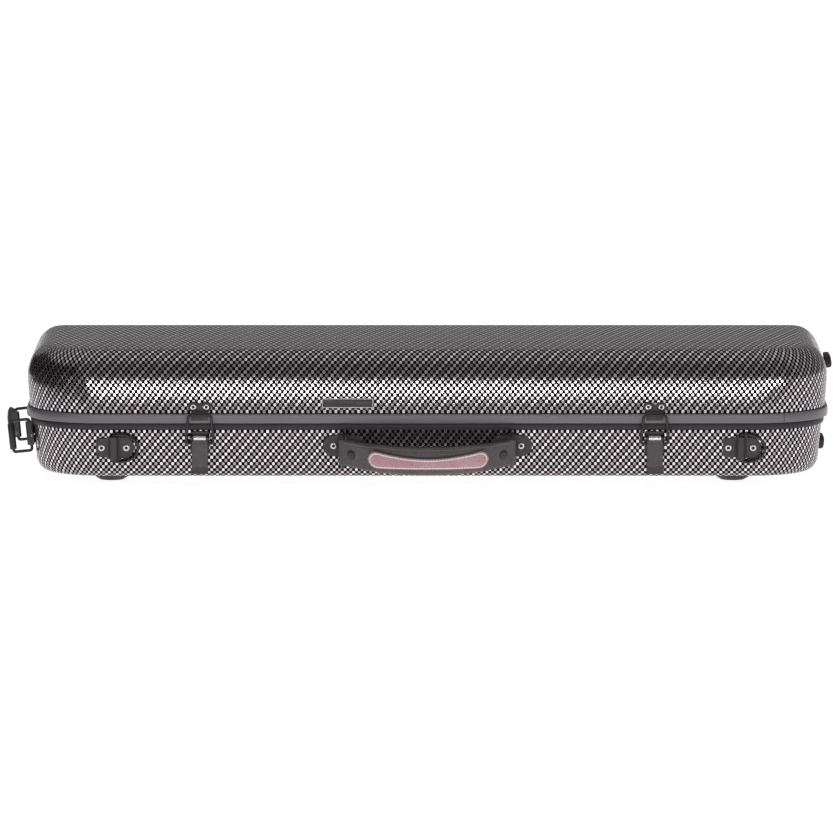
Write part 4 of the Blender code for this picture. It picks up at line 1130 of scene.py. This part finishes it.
# painted edges of the folded leather: two ridges along the top and bottom
for sgn in (-1, 1):
    for a_off, w_off, r in ((0.9, 0.25, 0.55), (-0.9, 0.25, 0.55)):
        path = []
        for i in range(70):
            x = -78.0 + 156.0 * i / 69
            t, h, e = grip.half(x)
            path.append(grip.at(x, a_off * min(1.0, t / 4.0),
                                sgn * (h + w_off - 0.45)))
        p.tube(path, r, 10, (0, 0, 1), False, "edge", hf)
# sewn-down end loops round the ring bars
for s in (-1, 1):
    c = s * HANDLE_X
    p.ring_lathe([(1.95, -12.6), (3.6, -12.7), (4.1, -12.2), (4.1, 12.2),
                  (3.6, 12.7), (1.95, 12.6)], "Z", "leather",
                 hf @ shift(c, 0, 0), 36)
p.make("handle_grip_leather", "handle", "grey_leather", ["handle_grip"], 40)

# flat end tabs in front of the padded part
p = Part()
for s in (-1, 1):
    loops = []
    for i in range(15):
        x = s * (53.0 + 29.3 * i / 14)
        grow = 0.25 + 0.75 * min(1.0, i / 5)
        lim = 12.0 if i < 13 else (11.7, 11.0)[i - 13]
        row_f, row_b = [], []
        for j in range(13):
            w = lim * (-1 + 2 * j / 12)
            row_f.append(grip.face(x, w, 0.35 + 0.75 * grow))
            row_b.append(grip.face(x, w, 0.05))
        loops.append(row_f + row_b[::-1])
    p.loft(loops, "leather", hf)
p.make("handle_end_tabs", "handle", "grey_leather")

# stitch lines
def stitches(p, pts, nrm, length, r, pitch, mat, f, lift=0.15):
    """Short thread stitches laid along a path, each a rounded bar."""
    P = [Vector(q) for q in pts]
    cum = [0.0]
    for a, b in zip(P, P[1:]):
        cum.append(cum[-1] + (b - a).length)

    def point(s):
        for i in range(len(P) - 1):
            if s <= cum[i + 1]:
                t = (s - cum[i]) / max(1e-9, cum[i + 1] - cum[i])
                return P[i].lerp(P[i + 1], t), Vector(nrm[i]).lerp(
                    Vector(nrm[i + 1]), t).normalized()
        return P[-1], Vector(nrm[-1])

    n = int(cum[-1] / pitch)
    for k in range(n):
        m = (k + 0.5) * cum[-1] / n
        a, na = point(m - length / 2)
        b, nb = point(m + length / 2)
        c, nc = point(m)
        p.tube([tuple(a + na * (lift - 0.22)), tuple(c + nc * lift),
                tuple(b + nb * (lift - 0.22))], r, 8, tuple(nc), False, mat,
               f, 0.75)


def patch_half(x):
    """Upper and lower reach of the patch at x."""
    u = min(1.0, abs(x) / 50.0)
    top = 3.6 + 4.6 * u ** 1.7
    low = 6.4 + 1.8 * u ** 1.7
    over = max(0.0, abs(x) - 47.5) / 9.0
    k = math.sqrt(max(0.0, 1 - min(1.0, over) ** 2))
    mid = (top - low) / 2
    half = (top + low) / 2 * max(0.12, k)
    return mid + half, mid - half


PX = 1.0
rows = []
for i in range(61):
    x = -55.0 + 110.0 * i / 60
    top, low = patch_half(x * 56.4 / 55.0)
    fr, bk = [], []
    for j in range(11):
        u = -1 + 2 * j / 10
        w = (top + low) / 2 + (top - low) / 2 * u
        puff = 0.45 * (1 - abs(u) ** 3)
        fr.append(grip.face(x + PX, w, 1.45 + puff))
        bk.append(grip.face(x + PX, w, 0.1))
    rows.append(fr + bk[::-1])
p = Part()
p.loft(rows, "patch", hf)
p.make("handle_patch_leather", "handle", "mauve_leather", ["handle_patch"],
       60)
# painted shade: a dark tube round the patch stands in for the shade in its groove, then
# its pale stitching
edge_pts, edge_nrm = [], []
N = 64
for i in range(N + 1):
    x = -52.6 + 105.2 * i / N
    top, low = patch_half(x * 56.4 / 53.4)
    edge_pts.append((x, top - 1.5))
for i in range(N + 1):
    x = 52.6 - 105.2 * i / N
    top, low = patch_half(x * 56.4 / 53.4)
    edge_pts.append((x, low + 1.5))
edge_pts.append(edge_pts[0])
pts = [grip.face(x + PX, w, 1.62) for x, w in edge_pts]
nrm = []
for x, w in edge_pts:
    a, b = Vector(grip.face(x + PX, w, 1.0)), Vector(grip.face(x + PX, w, 2.0))
    nrm.append(tuple((b - a).normalized()))
p = Part()
stitches(p, pts, nrm, 1.9, 0.6, 2.9, "thread", hf, 0.42)
p.make("patch_stitching", "handle", "mauve_leather")
# painted shade: dark tube along the stitch line for the groove's shade
p = Part()
P = [Vector(a) + Vector(b) * 0.12 for a, b in zip(pts, nrm)]
p.tube([tuple(a) for a in P[:-1]], 0.42, 8, (0, 0, 1), True, "hole", hf, 0.6)
p.make("patch_groove_painted_shade", "handle", "mauve_leather")

# two lines of stitching along the grip, and a dark line painted above the patch as the
# shadow between the patch and the padded grip
p = Part()
for sgn in (-1, 1):
    pts, nrm = [], []
    for i in range(60):
        x = -79.0 + 158.0 * i / 59
        t, h, e = grip.half(x)
        lift = 1.1 if abs(x) > 53 else 0.02
        w = sgn * (h - 2.1)
        a, b = Vector(grip.face(x, w, 0.0)), Vector(grip.face(x, w, 1.0))
        nn = (b - a).normalized()
        pts.append(tuple(a + nn * lift))
        nrm.append(tuple(nn))
    stitches(p, pts, nrm, 2.3, 0.3, 3.3, "thread_grey", hf, 0.12)
p.make("handle_stitching", "handle", "grey_leather")
# painted shadow: a near-black tube along the patch's upper edge stands in for the
# shadow under the padded grip
p = Part()
for off in (1.4,):
    path = []
    for i in range(50):
        x = -50.0 + 100.0 * i / 49
        path.append(grip.face(x + PX, patch_half(x)[0] + off, 0.02))
    p.tube(path, 0.7, 8, (0, 0, 1), False, "edge", hf, 0.8)
p.make("handle_patch_painted_shadow", "handle", "grey_leather")

for tag, s in (("left", -1), ("right", 1)):
    x = s * 71.5
    (px, pn), (ux, un) = grip.point(x)
    t = grip.half(x)[0] + 0.9
    f = hf @ shift(px + t * ux, -(pn + t * un), grip.sag(x)) @ \
        Matrix.Rotation(math.atan2(ux, un), 4, "Z")
    p = Part()
    p.lathe([(4.9, 0.5), (4.9, -0.35), (4.6, -0.65), (4.2, -0.75)], "Y",
            "edge", f, 40)
    p.lathe([(4.0, 0.4), (4.0, -0.9), (3.75, -1.35), (3.2, -1.65),
             (2.2, -1.85), (1.0, -1.92)], "Y", "bracket", f, 40)
    # painted shade: a near-black bar stands in for the shade in the cap's slot
    p.slab(rbox(1.7, 0.3, 0.2, 3), -1.75, -2.0, "Y", "painted_bore_shade", f, 0.05, 1)
    p.make("handle_stud_%s_cap" % tag, "handle", "black_metal",
           ["handle_stud_" + tag])

# end handle: doubled strap
endh = Arch(END_Y, 2.5, (2.4, 2.5), (12.4, 12.4), (20.0, 40.0), -10.0)
ef = wall_end(-1, 0.0, END_Z) @ shift(0, -BAR_N - RING_REACH, -RING_DROP)
p = Part()
band(p, endh, -47.4, 47.4, 48, 32, "leather", ef)
for sgn in (-1, 1):
    path = [endh.at(-46 + 92 * i / 40, 0.0, sgn * 12.35) for i in range(41)]
    p.tube(path, 0.6, 8, (0, 0, 1), False, "edge", ef)
for s in (-1, 1):
    p.ring_lathe([(1.95, -12.5), (3.0, -12.6), (3.4, -12.1), (3.4, 12.1),
                  (3.0, 12.6), (1.95, 12.5)], "Z", "edge",
                 ef @ shift(s * END_Y, 0, 0), 36)
p.make("end_handle_leather", "end_handle", "grey_leather", ["end_handle"], 40)
p = Part()
for sgn in (-1, 1):
    pts, nrm = [], []
    for i in range(40):
        x = -44.0 + 88.0 * i / 39
        a, b = Vector(endh.face(x, sgn * 10.3, 0)), Vector(
            endh.face(x, sgn * 10.3, 1))
        pts.append(tuple(a))
        nrm.append(tuple((b - a).normalized()))
    stitches(p, pts, nrm, 2.3, 0.3, 3.3, "thread_grey", ef, 0.12)
p.make("end_handle_stitching", "end_handle", "grey_leather")

# =================================================================== interior
INS_TOP, INS_BOT = 60.0, 10.8
BODY_X0, BODY_LEN, BOUT = 345.0, 362.0, 106.0
BOUTS = ((0.0, 0.0), (0.022, 0.42), (0.08, 0.76), (0.15, 0.95), (0.225, 1.0),
         (0.31, 0.94), (0.40, 0.76), (0.48, 0.60), (0.55, 0.56), (0.62, 0.63),
         (0.70, 0.77), (0.78, 0.82), (0.86, 0.79), (0.93, 0.64),
         (0.98, 0.38), (1.0, 0.0))


def bout(t):
    if t <= 0 or t >= 1:
        return 0.0
    return float(np.interp(t, [a for a, _ in BOUTS], [b for _, b in BOUTS])) \
        * BOUT


def smooth_bout(t):
    return sum(bout(min(0.9999, max(0.0001, t + d))) * w for d, w in (
        (-0.03, 1), (-0.015, 2), (0, 3), (0.015, 2), (0.03, 1))) / 9 * \
        min(1.0, math.sqrt(max(0.0, t) / 0.03)) * \
        min(1.0, math.sqrt(max(0.0, 1 - t) / 0.03))


def well_outline():
    """Half outline of the instrument's well with its neck channel."""
    xs = []
    for i in range(90):
        xs.append(BODY_X0 - BODY_LEN * (0.5 - 0.5 * math.cos(
            math.pi * i / 89)) * 0.97)
    pts = []
    for x in xs:
        t = (BODY_X0 - x) / BODY_LEN
        w = smooth_bout(t)
        if x < 3:
            w = max(w, 26.8)
        pts.append((x, max(w, 0.01)))
    last = pts[-1][0]
    x = last
    while x > -277.0:
        x -= 9.0
        if x > -277.0:
            pts.append((x, 26.8))
    pts += [(-277.0 - 11.8 * math.sin(q), 15.0 + 11.8 * math.cos(q))
            for q in (math.pi / 2 * i / 7 for i in range(0, 8))]
    return pts


half = well_outline()
well = half + [(x, -w) for x, w in reversed(half)]
bays = []
for sy, floor in ((1, 20.0), (-1, 34.0)):
    bays.append(([(x - 196.0, y + sy * 76.0) for x, y in
                  rbox(126.0, 26.0, 6.0, 8)], floor))


def inset(poly, d):
    """Moves a closed outline outwards by d (inwards if negative)."""
    pts = np.array(poly, float)
    area = 0.5 * np.sum(pts[:, 0] * np.roll(pts[:, 1], -1) -
                        np.roll(pts[:, 0], -1) * pts[:, 1])
    e = np.roll(pts, -1, 0) - pts
    e /= np.maximum(1e-9, np.linalg.norm(e, axis=1))[:, None]
    n = np.stack([e[:, 1], -e[:, 0]], 1) * (1 if area > 0 else -1)
    a = n + np.roll(n, 1, 0)
    a /= np.maximum(1e-6, np.linalg.norm(a, axis=1))[:, None]
    return [tuple(q) for q in pts + a * d]


p = Part()
verts, faces = [], []


def add_loop(poly, z):
    n0 = len(verts)
    verts.extend((x, y, z(x, y) if callable(z) else z) for x, y in poly)
    return list(range(n0, n0 + len(poly)))


def bridge(a, b):
    n = len(a)
    for i in range(n):
        faces.append((a[i], a[(i + 1) % n], b[(i + 1) % n], b[i]))


def fill(loop):
    tri = mgeo.tessellate_polygon([[Vector((verts[i][0], verts[i][1], 0))
                                    for i in loop]])
    faces.extend(tuple(loop[k] for k in t) for t in tri)


# outer side, bottom to top with a soft upper edge
sides = [(-27.5, INS_BOT), (-18.5, 17.0), (-14.0, 26.0), (-12.6, 46.5),
         (-9.2, 48.6), (-8.9, 57.2), (-9.3, 58.8), (-10.4, 59.8),
         (-11.8, INS_TOP)]
rings = [add_loop([(x, y) for x, y, _ in outline(d, 0)], z) for d, z in sides]
for a, b in zip(rings, rings[1:]):
    bridge(a, b)
fill(rings[0])
top_outer = rings[-1]
holes = []


def well_floor(x, y):
    t = min(1.0, max(0.0, (x - 3.0) / 30.0))
    return 28.0 + (22.0 - 28.0) * t * t * (3 - 2 * t)


for poly, floor in [(well, well_floor)] + bays:
    zf = floor if callable(floor) else (lambda x, y, f=floor: f)
    lips = []
    for i in range(6):
        q = math.pi / 2 * i / 5
        d, z = 3.0 * (1 - math.sin(q)), INS_TOP - 3.0 * (1 - math.cos(q))
        lips.append(add_loop(inset(poly, d), z))
    for i in range(6):
        q = math.pi / 2 * i / 5
        d = -4.0 * (1 - math.cos(q))
        lips.append(add_loop(inset(poly, d), lambda x, y, q=q: zf(x, y) + 4.0 *
                             (1 - math.sin(q))))
    for a, b in zip(lips, lips[1:]):
        bridge(a, b)
    fill(lips[-1])
    holes.append(lips[0])
tri = mgeo.tessellate_polygon(
    [[Vector((verts[i][0], verts[i][1], 0)) for i in lp]
     for lp in [top_outer] + holes])
idx = top_outer + [i for h in holes for i in h]
faces.extend(tuple(idx[k] for k in t) for t in tri)
p.add(verts, faces, "plush")
ins = p.make("padded_insert", "base", "charcoal_plush",
             ["base_insert", "neck_insert"], 60)

# piping round the rims of the well and the bays
p = Part()
for poly in [well] + [b for b, _ in bays]:
    p.tube([(x, y, INS_TOP + 0.05) for x, y in inset(poly, 2.4)], 0.9, 8,
           (0, 0, 1), True, "piping", None, 0.7)
p.make("insert_piping", "base", "charcoal_plush")

# suspension pads on the well's floor
def pad(p, cx, cy, a, b, z0, h, mat):
    loops = [[(cx + x, cy + y, z0) for x, y in rbox(a, b, min(a, b) * 0.6, 8)]]
    for i in range(1, 8):
        q = math.pi / 2 * i / 7
        k = 1 - 0.45 * (1 - math.cos(q))
        loops.append([(cx + x, cy + y, z0 + h * math.sin(q)) for x, y in
                      rbox(a * k, b * k, min(a, b) * 0.6 * k, 8)])
    p.loft(loops, mat)


p = Part()
pad(p, 300.0, 0.0, 24.0, 50.0, 22.05, 9.0, "plush")
pad(p, 44.0, 0.0, 22.0, 44.0, 22.2, 9.0, "plush")
o = p.make("suspension_pads", "base", "charcoal_plush")

# accessory lid with a pull tab, plush on top
f = shift(0, 104.5, 62.3)
p = Part()
p.slab(rbox(129.0, 28.4, 3.0, 6, -196.0, -28.0), -1.9, 1.1, "Z", "plush_lid",
       f, 1.2, 4)
p.slab([(-9 - 196, -56.4), (9 - 196, -56.4), (9 - 196, -62.0)] +
       arc(-196, -62.0, 9, 0, -180, 12)[1:-1] + [(-9 - 196, -62.0)], -0.6,
       0.6, "Z", "leather", f @ shift(0, 14.6, 0.9), 0.3, 2)
o = p.make("accessory_lid_pad", "accessory_lid", "charcoal_plush",
           ["accessory_lid"], 50)

# neck strap
p = Part()
rows = []
path = [(-44.0, 60.3), (-36.0, 60.35), (-30.0, 60.5), (-22.0, 61.2),
        (-12.0, 61.6), (0.0, 61.7), (12.0, 61.6), (22.0, 61.2), (30.0, 60.5),
        (36.0, 60.35), (44.0, 60.3)]
for y, z in path:
    rows.append([(-142.0, y, z), (-142.0, y, z + 1.2), (-141.0, y, z + 1.8),
                 (-119.0, y, z + 1.8), (-118.0, y, z + 1.2),
                 (-118.0, y, z)])
p.loft(rows, "leather")
p.slab(rbox(9.0, 6.5, 1.5, 4, -130.0, 26.0), 62.6, 63.4, "Z", "piping", None,
       0.2, 2)
p.make("neck_strap_leather", "base", "grey_leather", ["neck_strap"], 50)

# lid lining with a welt along its lower edge
LO, LI = 5.4, 11.0
prof = [(-LI, 64.0), (-LO, 64.0)]
prof_o = [(-LO, 64.0), (-LO, 80.0), (-LO, KNEE)]
prof_i = [(-LI, 65.0), (-LI, 80.0), (-LI, KNEE)]
for i in range(1, 9):
    q = math.pi / 2 * i / 8
    prof_o.append((-LO - (LRH - LO) * (1 - math.cos(q)),
                   KNEE + (LRV - LO) * math.sin(q)))
    prof_i.append((-LI - (LRH - LI) * (1 - math.cos(q)),
                   KNEE + (LRV - LI) * math.sin(q)))
for d in (-30.0, -45.0):
    prof_i.append((-LRH + d, KNEE + LRV - LI))
p = Part()
p.loft([outline(d, z) for d, z in reversed(prof_o)] +
       [outline(-LO - 1.0, 63.7), outline(-LI + 1.0, 63.8)] +
       [outline(d, z) for d, z in prof_i], "plush_lid")
o = p.make("lid_lining_plush", "lid", "charcoal_plush", ["lid_lining"], 60)
p = Part()
p.loft([outline(-8.2 + 1.6 * math.cos(q), 64.2 + 1.0 * math.sin(q))
        for q in (2 * math.pi * i / 10 for i in range(10))], "piping",
       ring=True)
p.make("lid_lining_welt", "lid", "charcoal_plush")

# bow turn buttons
CEIL = KNEE + LRV - LI
for tag, y in (("front", -38.0), ("rear", 38.0)):
    f = shift(-230.0, y, CEIL - GAP)
    p = Part()
    p.lathe([(8.5, 0.0), (8.5, -1.6), (8.1, -2.1), (6.5, -2.7), (4.4, -3.0),
             (4.0, -3.4), (4.0, -8.6)], "Z", "black", f, 40)
    p.slab(rbox(16.0, 4.8, 4.6, 8), -8.0, -11.0, "Z", "black", f, 0.9, 4)
    for s in (-1, 1):
        p.slab(rbox(3.2, 0.5, 0.4, 3, s * 10.0), -10.9, -11.35, "Z", "black",
               f, 0.15, 2)
    p.make("bow_clip_%s_button" % tag, "bow_clip_" + tag, "black_metal",
           ["bow_clip_" + tag])

# ============================================================ floor, lights
fm = Nodes("pale_floor")
n = fm.noise(fm.coord(), 1.2, 2.0)
fm.out(Base_Color=fm.mix(fm.ramp(n, 0.3, 0.7), (0.52, 0.52, 0.52),
                         (0.54, 0.54, 0.54)), Roughness=0.9,
       Specular_IOR_Level=0.1, Emission_Color=(1.0, 1.0, 1.0),
       Emission_Strength=0.88)
me = bpy.data.meshes.new("floor")
S = 60.0
me.from_pydata([(-S, -S, 0), (S, -S, 0), (S, S, 0), (-S, S, 0)], [],
               [(0, 1, 2, 3)])
me.materials.append(fm.m)
floor = bpy.data.objects.new("floor", me)
bpy.context.scene.collection.objects.link(floor)

world = bpy.data.worlds.new("studio")
bpy.context.scene.world = world
world.use_nodes = True
wt = world.node_tree
for nd in list(wt.nodes):
    wt.nodes.remove(nd)


class W(Nodes):
    def __init__(self, tree):
        self.t = tree


w = W(wt)
tc = w.node("ShaderNodeTexCoord")
sp = w.node("ShaderNodeSeparateXYZ")
wt.links.new(tc.outputs["Generated"], sp.inputs[0])
dx, dy, dz = sp.outputs
# general room, brighter overhead, dim over the camera side, dark at the left
room = w.ramp(dz, 0.5, 1.0, 0.34, 0.55)
front = w.math("MULTIPLY", w.ramp(dy, -0.15, -0.45),
               w.math("MULTIPLY", w.ramp(dz, 0.08, 0.18),
                      w.ramp(dz, 0.9, 0.72)))
level = w.math("MULTIPLY", room, w.ramp(front, 0, 1, 1.0, 0.6, False))
left = w.math("MULTIPLY", w.ramp(dx, -0.50, -0.60), w.ramp(dz, 0.62, 0.5))
level = w.math("MULTIPLY", level, w.ramp(left, 0, 1, 1.0, 0.06, False))
lp = w.node("ShaderNodeLightPath")
seen = w.math("ADD", w.math("MULTIPLY", level, w.math(
    "SUBTRACT", 1.0, lp.outputs["Is Camera Ray"])),
    w.math("MULTIPLY", lp.outputs["Is Camera Ray"], 1.0))
bg = w.node("ShaderNodeBackground")
bg.inputs[0].default_value = (1.0, 0.985, 0.99, 1.0)
w.put(bg.inputs[1], seen)
wo = w.node("ShaderNodeOutputWorld")
wt.links.new(bg.outputs[0], wo.inputs[0])

TARGET = Vector((OX, OY, 0.0729))


def area(name, where, aim, sx, sy, radiance):
    li = bpy.data.lights.new(name, "AREA")
    li.shape = "RECTANGLE"
    li.size, li.size_y = sx, sy
    li.energy = radiance * math.pi * sx * sy
    ob = bpy.data.objects.new(name, li)
    bpy.context.scene.collection.objects.link(ob)
    ob.location = where
    d = Vector(aim) - Vector(where)
    ob.rotation_euler = d.to_track_quat("-Z", "Y").to_euler()
    ob.visible_camera = False
    return ob


area("front_strip", (OX - 0.3, OY - 3.0, 0.238), TARGET, 8.4, 0.12, 10.5)


def card(name, corners, colour):
    """A flag that only glossy reflections see."""
    fm = Nodes(name)
    n = fm.noise(fm.coord(), 3.0, 2.0)
    fm.out(Base_Color=fm.mix(fm.ramp(n, 0.3, 0.7), colour,
                             tuple(0.9 * c for c in colour)), Roughness=0.9,
           Specular_IOR_Level=0.0)
    me = bpy.data.meshes.new(name)
    me.from_pydata([(OX + x, OY + y, z) for x, y, z in corners], [],
                   [(0, 1, 2, 3)])
    me.materials.append(fm.m)
    ob = bpy.data.objects.new(name, me)
    bpy.context.scene.collection.objects.link(ob)
    ob.visible_camera = False
    ob.visible_shadow = False
    ob.visible_diffuse = False


card("flag_left", [(-0.95, -1.9, 0.002), (-0.95, 1.2, 0.002),
                   (-0.95, 1.2, 0.36), (-0.95, -1.9, 0.36)],
     (0.012, 0.011, 0.011))
card("flag_front", [(-2.2, -3.4, 0.004), (2.2, -3.4, 0.004),
                    (2.2, -0.85, 0.004), (-2.2, -0.85, 0.004)],
     (0.30, 0.285, 0.29))
area("overhead", (OX, OY + 0.2, 3.2), TARGET, 3.2, 1.2,
     1.1).visible_glossy = False

bpy.context.scene.view_settings.view_transform = "Standard"

# -------------------------------------------------------------------- camera
cam = bpy.data.cameras.new("camera")
cam.sensor_width = 36.0
cam.lens = 36.0 * 8.127 / 0.84
cam.shift_x = -7.3 / 840
cam.shift_y = -24.2 / 840
cam.dof.use_dof = False
cam.clip_start, cam.clip_end = 0.1, 200.0
co = bpy.data.objects.new("camera", cam)
bpy.context.scene.collection.objects.link(co)
el = math.radians(6.9)
co.location = TARGET + Vector((0, -math.cos(el), math.sin(el))) * 8.0
co.rotation_euler = (TARGET - co.location).to_track_quat("-Z", "Y").to_euler()
bpy.context.scene.camera = co
